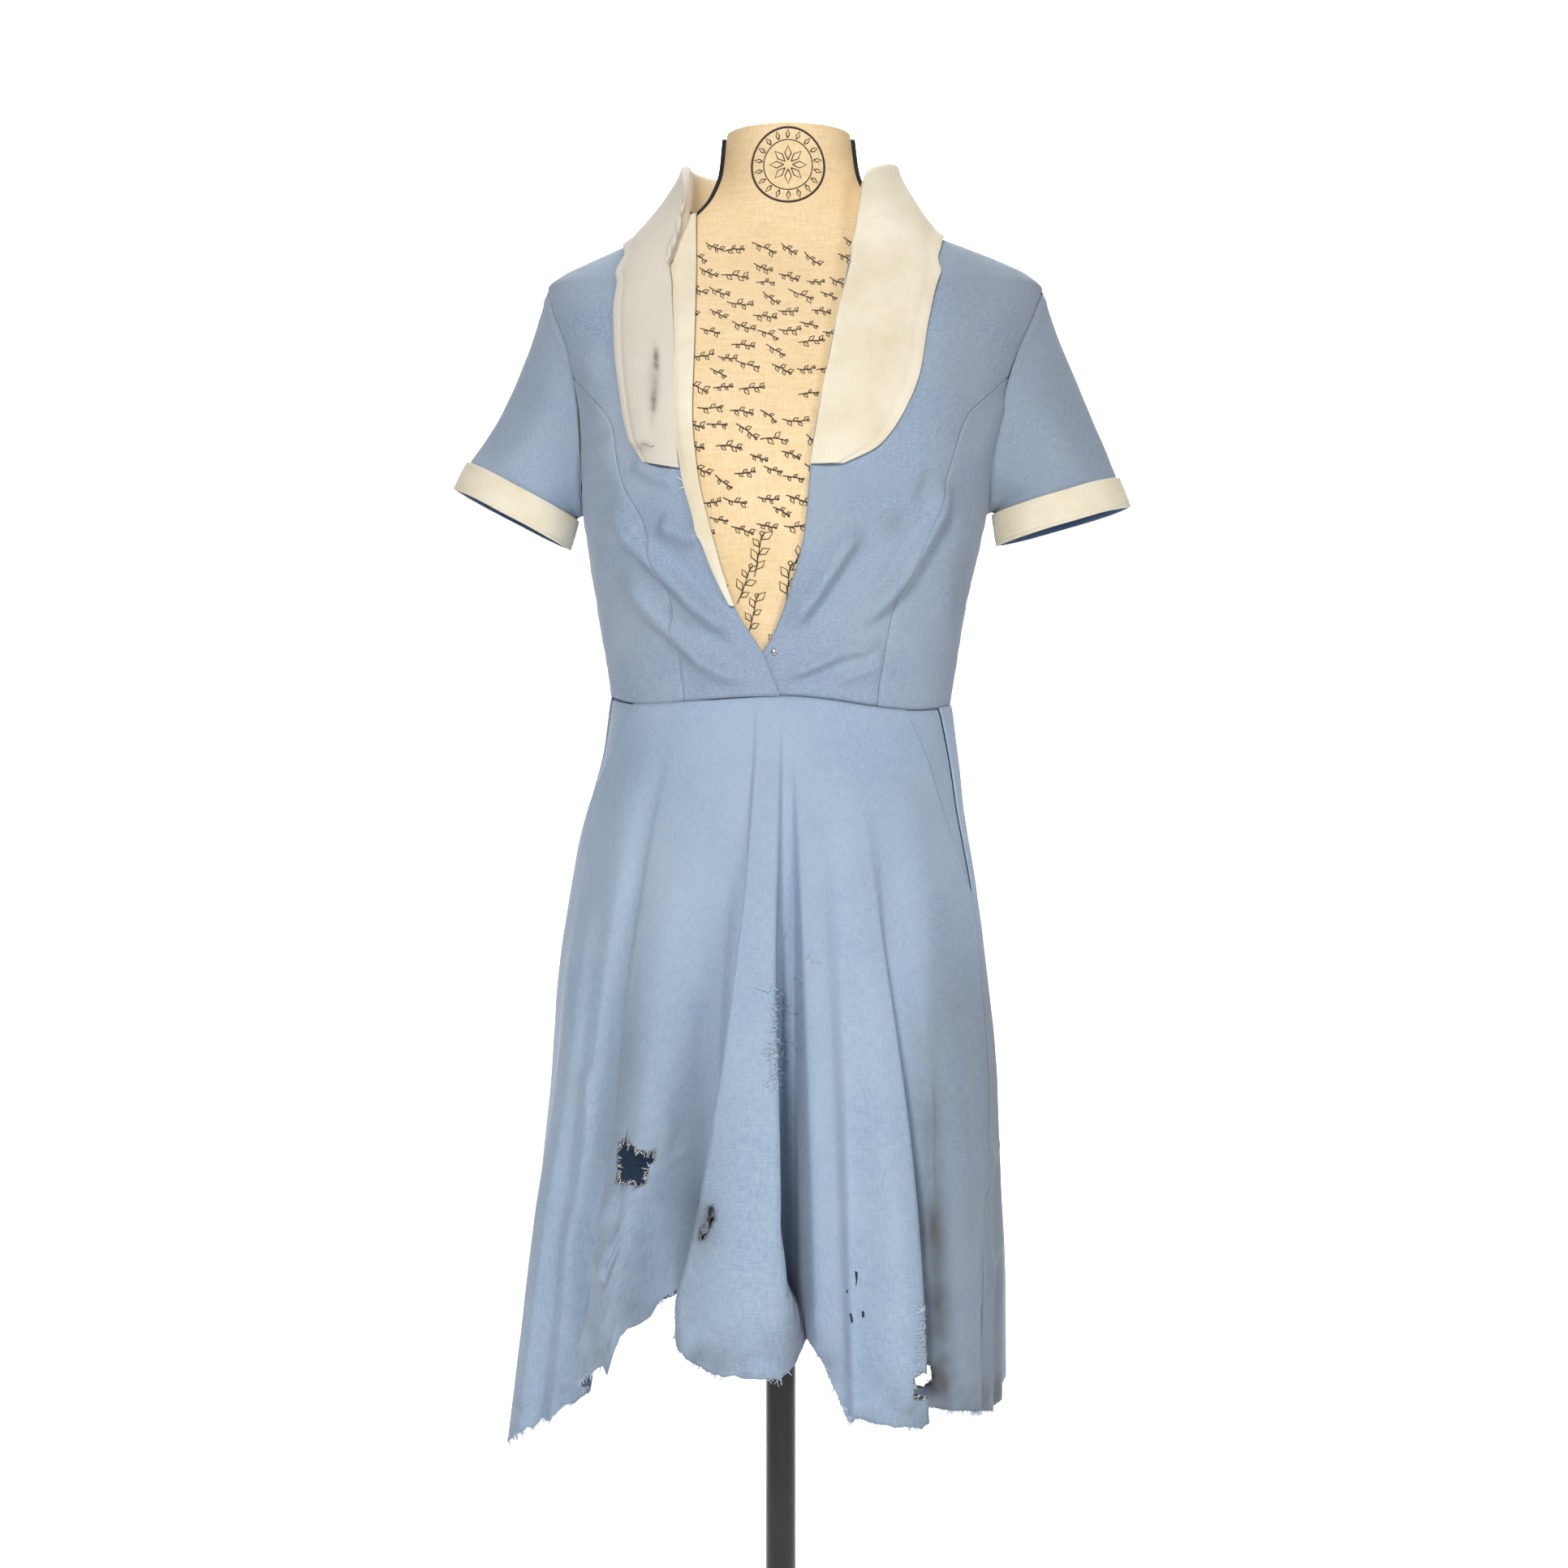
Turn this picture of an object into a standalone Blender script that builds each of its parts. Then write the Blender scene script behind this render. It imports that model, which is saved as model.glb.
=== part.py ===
# A light blue waitress dress with a wide collar and turned-up cuffs, on a limbless dress form.
# Metres, +Z up, the front faces -Y. Angles are in degrees round the body: 0 is the centre
# front, 90 the wearer's left side (+X) and 180 the centre back.
import bisect
import math

import bmesh
import bpy
from mathutils import Vector

# Cloth and seams
CLOTH = 0.0016
TRIM_CLOTH = 0.0020
SEAM = 0.0003
LAP = CLOTH + 0.0014     # how far the right front rides over the left one at the waist
SIDE_GAP = 0.04          # degrees that a panel stops short of a side or shoulder seam
PRINCESS_GAP = 0.09      # degrees that a panel stops short of a princess seam
SKIRT_GAP = 0.12         # degrees that a skirt piece stops short of a side seam
TRIM_LIFT = 0.0012       # air under the collar and the facing

# Heights on the body
WAIST = 1.000
UNDERARM = 1.160
SHOULDER_TIP = 1.345
NECK_SEAM = 1.408
FORM_BOTTOM = 0.770
FORM_TOP = 1.475

# Stand
BASE_RADIUS = 0.180
BASE_ROUNDING = 0.004
BASE_HEIGHT = 0.012
POLE_RADIUS = 0.0125
FLANGE_RADIUS = 0.045
FLANGE_HEIGHT = 0.010

# How finely each piece is divided: columns across and rows, or segments round
FRONT_GRID_COLUMNS = 10
SIDE_GRID_COLUMNS = 6
BACK_GRID_COLUMNS = 14
COLLAR_GRID = (40, 8)
SKIRT_BACK_COLUMNS = 38
POCKET_COLUMNS = 5
FORM_SEGMENTS = 32
POLE_SEGMENTS = 24
BASE_SEGMENTS = 64
NORMAL_TURN = 0.5        # steps in degrees and metres that a normal is measured over
NORMAL_RISE = 0.001


def table(columns, *rows):
    """Return the columns of a small table by name; the first column is its key, rising."""
    return {name: [row[i] for row in rows] for i, name in enumerate(columns.split())}


def read(rows, column, key):
    """Read a column at a key, on a smooth curve through the rows that never overshoots."""
    keys = next(iter(rows.values()))
    values = rows[column]
    last = len(keys) - 1
    key = min(max(key, keys[0]), keys[last])
    i = min(max(bisect.bisect_right(keys, key) - 1, 0), last - 1)

    def slope(j):
        return (values[j + 1] - values[j]) / (keys[j + 1] - keys[j])

    def tangent(j):
        if j == 0:
            return slope(0)
        if j == last:
            return slope(last - 1)
        before, after = slope(j - 1), slope(j)
        return 0.0 if before * after <= 0 else 2 * before * after / (before + after)

    step = keys[i + 1] - keys[i]
    t = (key - keys[i]) / step
    start = values[i] + tangent(i) * step * t * (1 - t) ** 2
    end = tangent(i + 1) * step * t * t * (t - 1)
    return start + end + (values[i + 1] - values[i]) * t * t * (3 - 2 * t)


def ease(low, high, value):
    """Rise smoothly from 0 at low to 1 at high; low may be the larger."""
    t = min(max((value - low) / (high - low), 0.0), 1.0)
    return t * t * (3 - 2 * t)


def signed_power(value, power):
    return math.copysign(abs(value) ** power, value)


# The bodice's outer face by height. power under 1 squares the section off, shift moves it
# across, and air is the clearance between the cloth and the form.
BODY = table(
    "height side front back power shift air",
    (0.770, 0.1480, 0.107, 0.111, 0.95, 0.000, 0.0030),
    (0.850, 0.1520, 0.111, 0.115, 0.95, 0.000, 0.0030),
    (0.920, 0.1460, 0.108, 0.104, 0.95, 0.000, 0.0045),
    (0.965, 0.1425, 0.104, 0.097, 0.95, 0.000, 0.0045),
    (1.000, 0.1425, 0.104, 0.094, 0.95, 0.000, 0.0045),
    (1.040, 0.1475, 0.113, 0.096, 0.93, 0.001, 0.0035),
    (1.090, 0.1555, 0.126, 0.100, 0.90, 0.002, 0.0025),
    (1.140, 0.1655, 0.138, 0.106, 0.88, 0.003, 0.0025),
    (1.190, 0.1750, 0.143, 0.112, 0.85, 0.004, 0.0020),
    (1.240, 0.1850, 0.135, 0.116, 0.80, 0.007, 0.0018),
    (1.290, 0.1960, 0.115, 0.114, 0.76, 0.010, 0.0018),
    (1.325, 0.2050, 0.092, 0.106, 0.76, 0.011, 0.0018),
    (1.345, 0.2070, 0.079, 0.098, 0.78, 0.012, 0.0024),
    (1.355, 0.1970, 0.073, 0.094, 0.80, 0.012, 0.0018),
    (1.3655, 0.1770, 0.068, 0.090, 0.82, 0.012, 0.0018),
    (1.376, 0.1520, 0.065, 0.086, 0.85, 0.011, 0.0018),
    (1.387, 0.1240, 0.062, 0.081, 0.88, 0.010, 0.0018),
    (1.398, 0.0990, 0.060, 0.076, 0.90, 0.009, 0.0018),
    (1.409, 0.0800, 0.058, 0.070, 0.92, 0.008, 0.0012),
    (1.425, 0.0660, 0.056, 0.062, 0.95, 0.0075, 0.0012),
    (1.445, 0.0580, 0.054, 0.056, 1.00, 0.007, 0.0012),
    (1.475, 0.0545, 0.052, 0.053, 1.00, 0.0065, 0.0012),
)

# The two front edges of the neckline: distance across from the middle of the dress
RIGHT_FRONT_EDGE = table(
    "height across",
    (1.000, 0.000), (1.040, -0.016), (1.075, -0.037), (1.122, -0.052), (1.182, -0.066),
    (1.230, -0.070), (1.299, -0.069), (1.385, -0.0695), (1.409, -0.070),
)
LEFT_FRONT_EDGE = table(
    "height across",
    (1.000, -0.053), (1.040, -0.012), (1.090, 0.008), (1.134, 0.019), (1.191, 0.024),
    (1.250, 0.034), (1.336, 0.051), (1.398, 0.066), (1.409, 0.077),
)
PRINCESS_SEAM = table(
    "height across",
    (1.000, 0.078), (1.070, 0.088), (1.123, 0.105), (1.178, 0.129), (1.226, 0.143),
    (1.252, 0.166), (1.266, 0.180),
)
PRINCESS_TOP = 1.262

# The armhole is an oval in height and angle, deeper behind than in front
ARMHOLE_MIDDLE = (UNDERARM + SHOULDER_TIP) / 2
ARMHOLE_HALF = (SHOULDER_TIP - UNDERARM) / 2
ARMHOLE_FRONT = 24.0
ARMHOLE_BACK = 26.0

# Heights of the bodice's rows of points, which every panel shares so that its seams meet
LOWER_ROWS = (WAIST, 1.025, 1.050, 1.075, 1.100, 1.120, 1.140)
ARMHOLE_ROWS = (UNDERARM, 1.1635, 1.170, 1.180, 1.200, 1.225, 1.250, PRINCESS_TOP, 1.280,
                1.305, 1.325, 1.335, 1.3415, SHOULDER_TIP)
SHOULDER_ROWS = (1.350, 1.357, 1.366, 1.377, 1.389, 1.400, NECK_SEAM)
BODICE_ROWS = LOWER_ROWS + ARMHOLE_ROWS + SHOULDER_ROWS
FORM_ROWS = ((FORM_BOTTOM, 0.805, 0.840, 0.875, 0.910, 0.940, 0.970) + BODICE_ROWS
             + (1.416, 1.425, 1.437, 1.450, FORM_TOP))

# The waist seam dips a little between the centre front and the sides
WAIST_SEAM = table(
    "angle height",
    (-180, 1.000), (-90, 1.006), (-48, 0.998), (0, 1.003), (45, 0.993), (90, 0.999),
    (180, 1.000),
)

# Soft ridges that the lap pulls across the bodice: ends as (across, height), width, depth
DRAPES = table(
    "name start_across start_height end_across end_height width depth",
    ("right_upper", -0.142, 1.158, -0.030, 1.048, 0.013, 0.0040),
    ("right_lower", -0.120, 1.095, -0.012, 1.012, 0.011, 0.0035),
    ("right_edge", -0.088, 1.136, -0.058, 1.130, 0.010, 0.0030),
    ("left_upper", 0.128, 1.168, 0.056, 1.050, 0.014, 0.0050),
    ("left_edge", 0.064, 1.136, 0.008, 1.050, 0.012, 0.0040),
    ("left_lower", 0.080, 1.045, 0.004, 1.016, 0.009, 0.0030),
)
DRAPE_RISE = 0.25        # share of a ridge's length in which it rises from nothing
DRAPE_FALL = 0.80        # share at which it starts to die away
DRAPE_HEIGHTS = (WAIST, 1.020)      # the ridges fade in between these heights
SEAM_HEIGHTS = (1.060, WAIST)       # rows bend down to the waist seam between these
LAP_SHARES = (0.95, 0.62)           # across the right front, where the lap lifts it
LAP_HEIGHTS = (1.100, 1.055)

# The skirt's outer face by height
SKIRT = table(
    "height right_side left_side front back",
    (0.390, 0.2225, 0.1860, 0.205, 0.190),
    (0.500, 0.2110, 0.1857, 0.200, 0.185),
    (0.600, 0.2015, 0.1838, 0.191, 0.177),
    (0.690, 0.1915, 0.1810, 0.180, 0.167),
    (0.770, 0.1865, 0.1740, 0.167, 0.155),
    (0.850, 0.1750, 0.1645, 0.150, 0.138),
    (0.910, 0.1625, 0.1540, 0.133, 0.120),
    (0.960, 0.1490, 0.1480, 0.117, 0.104),
    (1.007, 0.1425, 0.1425, 0.104, 0.094),
)

# The uneven hem by angle
HEM = table(
    "angle height",
    (-180, 0.487), (-150, 0.475), (-115, 0.430), (-95, 0.398), (-75, 0.400), (-60, 0.425),
    (-40, 0.478), (-31, 0.512), (-22, 0.541), (-18, 0.512), (-13, 0.499), (-4, 0.491),
    (0, 0.496), (4, 0.510), (8, 0.498), (12, 0.476), (17, 0.446), (30, 0.440), (36, 0.447),
    (50, 0.440), (72, 0.425), (90, 0.424), (110, 0.435), (150, 0.475), (180, 0.487),
)

# Folds of the skirt: where each lies at the waist and at the hem, how far it spreads to
# either side, its height there and the share of the length where it starts
FOLDS = table(
    "name waist hem before after height start",
    ("left_back_roll", -168, -170, 16, 16, 0.012, 0.10),
    ("left_back_hollow", -146, -147, 10, 12, -0.012, 0.15),
    ("left_hip_roll", -122, -124, 14, 12, 0.014, 0.10),
    ("right_seam_hollow", -98, -104, 9, 11, -0.007, 0.30),
    ("right_side_roll", -62, -68, 14, 10, 0.012, 0.18),
    ("right_narrow_hollow", -42, -54, 7, 5, -0.014, 0.14),
    ("right_front_roll", -33, -42, 7, 8, 0.008, 0.20),
    ("right_low_hollow", -27, -31, 5, 5, -0.009, 0.45),
    ("beside_pipe_hollow", -18, -23, 7, 5, -0.008, 0.20),
    ("centre_pipe", -6, -9, 12, 9, 0.026, 0.03),
    ("deep_hollow", 3, 4.5, 5, 7, -0.026, 0.06),
    ("middle_roll", 9, 13, 6, 6, 0.009, 0.10),
    ("middle_hollow", 15, 20, 6, 6, -0.009, 0.12),
    ("left_front_roll", 22, 28, 8, 6, 0.013, 0.15),
    ("left_deep_hollow", 29, 35, 4, 9, -0.020, 0.25),
    ("left_side_roll", 48, 52, 13, 12, 0.010, 0.15),
    ("left_seam_hollow", 76, 73, 10, 12, -0.006, 0.30),
    ("left_hip_back_roll", 112, 106, 14, 16, 0.013, 0.12),
    ("back_right_hollow", 136, 134, 11, 10, -0.013, 0.15),
    ("back_right_roll", 158, 160, 13, 14, 0.014, 0.08),
    ("centre_back_hollow", 184, 182, 9, 9, -0.012, 0.12),
)

FOLD_LEAD = 0.10         # share of the length before its start at which a fold begins to rise
FOLD_FULL = 1.15         # share at which it would reach its full height

# The skirt front's own side edges by share of the length from waist to hem. The first part
# of each is the slanted pocket mouth, and the rest is the side seam.
SKIRT_SIDES = table(
    "share right_edge right_seam left_edge left_seam",
    (0.00, -57.0, -88.0, 45.0, 66.0),
    (0.04, -63.0, -89.0, 50.0, 69.0),
    (0.08, -70.0, -90.0, 54.8, 71.5),
    (0.13, -78.0, -91.5, 58.5, 73.0),
    (0.19, -86.0, -93.0, 64.0, 73.5),
    (0.25, -92.5, -94.0, 69.5, 73.5),
    (0.28, -94.5, -94.5, 73.2, 73.4),
    (0.32, -94.8, -94.8, 72.8, 72.8),
    (0.55, -96.0, -96.0, 68.5, 68.5),
    (0.75, -97.0, -97.0, 63.0, 63.0),
    (1.00, -98.0, -98.0, 56.0, 56.0),
)
SKIRT_ROWS = 14

# The skirt front's columns: waist angles that follow the folds, closer together at the pipe,
# and how many more spread from them to the side edges
FRONT_LINES = ([-54 + 4 * i for i in range(9)] + [-18 + 2 * i for i in range(15)]
               + [12 + 3.75 * i for i in range(9)])
RIGHT_COLUMNS = 9
LEFT_COLUMNS = 4
FRONT_COLUMNS = RIGHT_COLUMNS + len(FRONT_LINES) - 1 + LEFT_COLUMNS
POCKET_ROWS = 5          # how many of the skirt's rows a pocket panel reaches down
POCKET_LAP = 9.0         # degrees that it runs on behind the front
POCKET_DEPTH = CLOTH + 5 * SEAM

# Rips through the skirt front as outlines of (across, height) points, cut between two depths
RIP_START = -0.30
RIP_END = -0.06
RIPS = {
    "square_hole": ((-0.132, 0.656), (-0.125, 0.659), (-0.110, 0.652), (-0.100, 0.650),
                    (-0.100, 0.645), (-0.106, 0.640), (-0.109, 0.628), (-0.114, 0.626),
                    (-0.130, 0.630), (-0.134, 0.627)),
    "burnt_slot": ((-0.057, 0.613), (-0.052, 0.613), (-0.051, 0.602), (-0.056, 0.596),
                   (-0.058, 0.588), (-0.062, 0.590), (-0.061, 0.599), (-0.056, 0.604)),
    "low_hole": ((0.103, 0.478), (0.110, 0.481), (0.117, 0.478), (0.118, 0.468),
                 (0.112, 0.461), (0.103, 0.463)),
}

# The collar's stations from the right leaf's end, up round the back to the left leaf's end:
# its neck edge, its outer edge and the height that it stands up at the neck
COLLAR = table(
    "station neck_angle neck_height edge_angle edge_height stand",
    (0, -24.9, 1.182, -36.5, 1.1885, 0.000),
    (1, -25.0, 1.197, -40.5, 1.209, 0.000),
    (2, -24.8, 1.222, -41.5, 1.234, 0.000),
    (3, -23.7, 1.255, -41.6, 1.267, 0.000),
    (4, -22.5, 1.290, -40.4, 1.305, 0.001),
    (5, -22.2, 1.325, -38.6, 1.336, 0.004),
    (6, -26.4, 1.360, -44.3, 1.3605, 0.011),
    (7, -47.0, 1.393, -67.3, 1.377, 0.028),
    (8, -90, 1.4088, -90, 1.3845, 0.039),
    (9, -125, 1.4088, -121, 1.365, 0.041),
    (10, -152, 1.4088, -151, 1.347, 0.041),
    (11, -180, 1.4088, -180, 1.338, 0.041),
    (12, -208, 1.4088, -209, 1.347, 0.041),
    (13, -235, 1.4088, -239, 1.365, 0.041),
    (14, -270, 1.4088, -270, 1.3845, 0.039),
    (15, -318, 1.403, -308, 1.3745, 0.032),
    (16, -338.5, 1.386, -327, 1.357, 0.020),
    (17, -351, 1.355, -333, 1.325, 0.009),
    (18, -353.8, 1.316, -333.2, 1.291, 0.004),
    (19, -354.8, 1.280, -333.2, 1.257, 0.001),
    (20, -355.2, 1.245, -335, 1.227, 0.000),
    (21, -355.3, 1.211, -339, 1.202, 0.000),
    (22, -355.6, 1.184, -347, 1.187, 0.000),
)
COLLAR_ROLL = 0.0045     # radius of the fold at the top of the stand
COLLAR_CROWN = 0.0030    # how far the leaf bulges between its edges
COLLAR_FALL = 1.6        # how quickly the leaf comes down from the fold to the body
COLLAR_STAND_STEPS = 8   # points of a section up the stand, over the fold and down the leaf
COLLAR_ROLL_STEPS = 8
COLLAR_LEAF_STEPS = 24

# The facing's width along the right front edge
FACING = table(
    "height width",
    (1.075, 0.005), (1.110, 0.009), (1.180, 0.0110), (1.335, 0.0110), (1.366, 0.0060),
)
FACING_ROWS = [height for height in BODICE_ROWS if 1.075 <= height <= 1.366]

# The sleeves: middle of the cuff's top and bottom edges, their half lengths across, the
# half depth, the tilt of the cuff and the way the sleeve flares, both in degrees
SLEEVES = {
    "right": {"side": -1, "top": (-0.2149, -0.006, 1.1775), "bottom": (-0.2240, -0.008, 1.1537),
              "top_half": 0.0507, "bottom_half": 0.0532, "depth": 0.0435, "tilt": 27.5,
              "flare": 40.0},
    "left": {"side": 1, "top": (0.2292, -0.006, 1.1737), "bottom": (0.2358, -0.008, 1.1480),
             "top_half": 0.0532, "bottom_half": 0.0565, "depth": 0.0445, "tilt": 16.0,
             "flare": 21.0},
}
SLEEVE_BANDS = 6
SLEEVE_PUSH = 0.25       # how strongly a sleeve leaves its armhole outwards, and downwards
SLEEVE_DROP = 0.90
CUFF_OVERHANG = 0.02     # share of its height that a cuff reaches below the sleeve's end


def body_surface(angle, height):
    turn = math.radians(angle)
    side = read(BODY, "side", height)
    depth = read(BODY, "front" if math.cos(turn) > 0 else "back", height)
    power = read(BODY, "power", height)
    x = read(BODY, "shift", height) + side * signed_power(math.sin(turn), power)
    return Vector((x, -depth * signed_power(math.cos(turn), power), height))


def body_normal(angle, height):
    along = body_surface(angle + NORMAL_TURN, height) - body_surface(angle - NORMAL_TURN, height)
    up = body_surface(angle, height + NORMAL_RISE) - body_surface(angle, height - NORMAL_RISE)
    return along.cross(up).normalized()


def body_point(angle, height, out=0.0):
    return body_surface(angle, height) + body_normal(angle, height) * out


def front_angle(across, height):
    """Return the angle at which the front of the body is that far across."""
    share = (across - read(BODY, "shift", height)) / read(BODY, "side", height)
    share = min(max(share, -1.0), 1.0)
    return math.degrees(math.asin(signed_power(share, 1 / read(BODY, "power", height))))


def armhole_spread(height, widest):
    share = (height - ARMHOLE_MIDDLE) / ARMHOLE_HALF
    return widest * math.sqrt(max(1 - share * share, 0.0))


def princess_angle(side, height):
    across = read(PRINCESS_SEAM, "across", height)
    return side * front_angle(across + read(BODY, "shift", height), height)


def row_height(rows, share):
    """Return the height of a grid row, where share runs from 0 to 1 up the rows."""
    return rows[round(share * (len(rows) - 1))]


def drape(point):
    """Return how far the bodice stands out in a ridge of the lap's pull."""
    rise = 0.0
    for i in range(len(DRAPES["name"])):
        start = Vector((DRAPES["start_across"][i], DRAPES["start_height"][i]))
        end = Vector((DRAPES["end_across"][i], DRAPES["end_height"][i]))
        run = end - start
        offset = Vector((point.x, point.z)) - start
        along = min(max(offset.dot(run) / run.length_squared, 0.0), 1.0)
        away = (offset - run * along).length / DRAPES["width"][i]
        taper = ease(0.0, DRAPE_RISE, along) * ease(1.0, DRAPE_FALL, along)
        rise += DRAPES["depth"][i] * math.exp(-away * away) * taper
    return rise


def bodice_point(angle, height, out=0.0):
    """Return a point of the bodice, whose lowest row follows the waist seam."""
    seam = read(WAIST_SEAM, "height", (angle + 180) % 360 - 180) + SEAM / 2
    height += (seam - WAIST) * ease(*SEAM_HEIGHTS, height)
    facing_front = math.cos(math.radians(angle)) > 0
    if facing_front:
        out += drape(body_surface(angle, height)) * ease(*DRAPE_HEIGHTS, height)
    return body_point(angle, height, out)


def place_grid(name, columns, rows, place, wall, closed=False):
    """Make a cloth piece: a grid whose points are placed by their shares u and v, and a wall."""
    shape = bmesh.new()
    bmesh.ops.create_grid(shape, x_segments=columns, y_segments=rows, size=1)
    for point in shape.verts:
        point.co = place((point.co.x + 1) / 2, (point.co.y + 1) / 2)
    if closed:
        bmesh.ops.remove_doubles(shape, verts=shape.verts, dist=1e-5)
    mesh = bpy.data.meshes.new(name)
    shape.to_mesh(mesh)
    shape.free()
    piece = bpy.data.objects.new(name, mesh)
    bpy.context.collection.objects.link(piece)
    thickness = piece.modifiers.new("wall", "SOLIDIFY")
    thickness.thickness = wall
    thickness.offset = -1
    mesh.shade_smooth()
    return piece


def place_panel(name, columns, rows, place, wall):
    """Make a cloth piece whose inner face is placed too, so that seams stay parallel."""
    shape = bmesh.new()
    bmesh.ops.create_grid(shape, x_segments=columns, y_segments=rows, size=1)
    grown = bmesh.ops.extrude_face_region(shape, geom=shape.faces[:], use_keep_orig=True)
    inner = [part for part in grown["geom"] if isinstance(part, bmesh.types.BMVert)]
    bmesh.ops.translate(shape, verts=inner, vec=(0, 0, -wall))
    for point in shape.verts:
        point.co = place((point.co.x + 1) / 2, (point.co.y + 1) / 2, point.co.z)
    bmesh.ops.recalc_face_normals(shape, faces=shape.faces)
    if shape.calc_volume(signed=True) < 0:
        bmesh.ops.reverse_faces(shape, faces=shape.faces)
    mesh = bpy.data.meshes.new(name)
    shape.to_mesh(mesh)
    shape.free()
    piece = bpy.data.objects.new(name, mesh)
    bpy.context.collection.objects.link(piece)
    mesh.shade_smooth()
    mesh.set_sharp_from_angle(angle=math.radians(50))
    return piece


def finish(name, colour, roughness=0.9, metallic=0.0):
    material = bpy.data.materials.new(name)
    material.use_nodes = True
    shader = material.node_tree.nodes["Principled BSDF"]
    shader.inputs["Base Color"].default_value = (*colour, 1)
    shader.inputs["Roughness"].default_value = roughness
    shader.inputs["Metallic"].default_value = metallic
    return material


def lap_rise(share, height):
    """Return how far the right front is lifted, by its share across from its own edge."""
    return LAP * ease(*LAP_SHARES, share) * ease(*LAP_HEIGHTS, height)


def bodice_front(side, edge):
    """A front between its neckline edge and the princess seam or the armhole."""
    def place(u, v, out):
        height = row_height(BODICE_ROWS, v)
        inner = front_angle(read(edge, "across", height), height)
        if height <= PRINCESS_TOP:
            outer = princess_angle(side, height) - side * PRINCESS_GAP
        elif height <= SHOULDER_TIP:
            outer = side * (90 - SIDE_GAP - armhole_spread(height, ARMHOLE_FRONT))
        else:
            outer = side * (90 - SIDE_GAP)
        across = u if side > 0 else 1 - u
        angle = inner + (outer - inner) * across
        raised = lap_rise(across, height) if side < 0 else 0.0
        return bodice_point(angle, height, raised + out)
    return place


def bodice_side(side):
    """A side front between the princess seam and the side seam or the armhole."""
    rows = [height for height in BODICE_ROWS if height <= PRINCESS_TOP]

    def place(u, v, out):
        height = row_height(rows, v)
        inner = princess_angle(side, height) + side * PRINCESS_GAP
        outer = side * (90 - SIDE_GAP - armhole_spread(height, ARMHOLE_FRONT))
        across = u if side > 0 else 1 - u
        return bodice_point(inner + (outer - inner) * across, height, out)
    return place, len(rows) - 1


def bodice_back(u, v, out):
    height = row_height(BODICE_ROWS, v)
    spread = armhole_spread(height, ARMHOLE_BACK)
    right = 90 + SIDE_GAP + spread
    return bodice_point(right + (360 - 2 * right) * u, height, out)


def facing(u, v, out):
    height = row_height(FACING_ROWS, v)
    inner = read(RIGHT_FRONT_EDGE, "across", height)
    outer = inner - read(FACING, "width", height)
    angle = front_angle(outer + (inner - outer) * u, height)
    return bodice_point(angle, height, lap_rise(0, height) + TRIM_CLOTH + TRIM_LIFT + out)


def collar_section(station):
    """Return the collar's section at a station as a fine run of points from neck to edge."""
    neck_angle = read(COLLAR, "neck_angle", station)
    neck_height = read(COLLAR, "neck_height", station)
    edge_angle = read(COLLAR, "edge_angle", station)
    edge_height = read(COLLAR, "edge_height", station)
    stand = read(COLLAR, "stand", station)
    roll = min(COLLAR_ROLL, stand / 2)
    outward = body_normal(neck_angle, neck_height)
    outward.z = 0
    outward.normalize()
    neck = body_point(neck_angle, neck_height, TRIM_CLOTH + TRIM_LIFT)
    points = [neck + Vector((0, 0, (stand - roll) * i / COLLAR_STAND_STEPS))
              for i in range(COLLAR_STAND_STEPS + 1)]
    for i in range(1, COLLAR_ROLL_STEPS):
        turn = math.pi * i / COLLAR_ROLL_STEPS
        lift = Vector((0, 0, stand - roll + roll * math.sin(turn)))
        points.append(neck + lift + outward * roll * (1 - math.cos(turn)))
    for i in range(COLLAR_LEAF_STEPS + 1):
        share = i / COLLAR_LEAF_STEPS
        angle = neck_angle + (edge_angle - neck_angle) * share
        height = neck_height + (edge_height - neck_height) * share
        out = TRIM_CLOTH + TRIM_LIFT + COLLAR_CROWN * math.sin(math.pi * share)
        fall = Vector((0, 0, (stand - roll) * (1 - share) ** COLLAR_FALL))
        points.append(body_point(angle, height, out) + fall + outward * 2 * roll * (1 - share))
    return points


def along_line(points, share):
    """Return the point at a share of a line's length."""
    lengths = [0.0]
    for start, end in zip(points, points[1:]):
        lengths.append(lengths[-1] + (end - start).length)
    target = lengths[-1] * share
    i = min(max(bisect.bisect_right(lengths, target) - 1, 0), len(points) - 2)
    step = lengths[i + 1] - lengths[i]
    within = (target - lengths[i]) / step if step > 0 else 0.0
    return points[i].lerp(points[i + 1], min(within, 1.0))


def collar(columns):
    last = COLLAR["station"][-1]
    sections = [collar_section(last * i / columns) for i in range(columns + 1)]
    return lambda u, v: along_line(sections[round(u * columns)], v)


def armhole_loop(side):
    """Return the armhole's edge points with the turn of each: -90 under the arm, 90 on top."""
    front = list(ARMHOLE_ROWS)
    loop = []
    for height, facing_front in [(h, True) for h in front] + [(h, False) for h in front[-2:0:-1]]:
        widest = -ARMHOLE_FRONT if facing_front else ARMHOLE_BACK
        spread = math.copysign(armhole_spread(height, abs(widest)), widest)
        share = min(max((height - ARMHOLE_MIDDLE) / ARMHOLE_HALF, -1.0), 1.0)
        turn = math.asin(share) if facing_front else math.pi - math.asin(share)
        loop.append((body_point(side * (90 + spread), height), turn))
    middle = sum((point for point, turn in loop), Vector()) / len(loop)
    return [(point + (middle - point).normalized() * SEAM, turn) for point, turn in loop]


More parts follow.
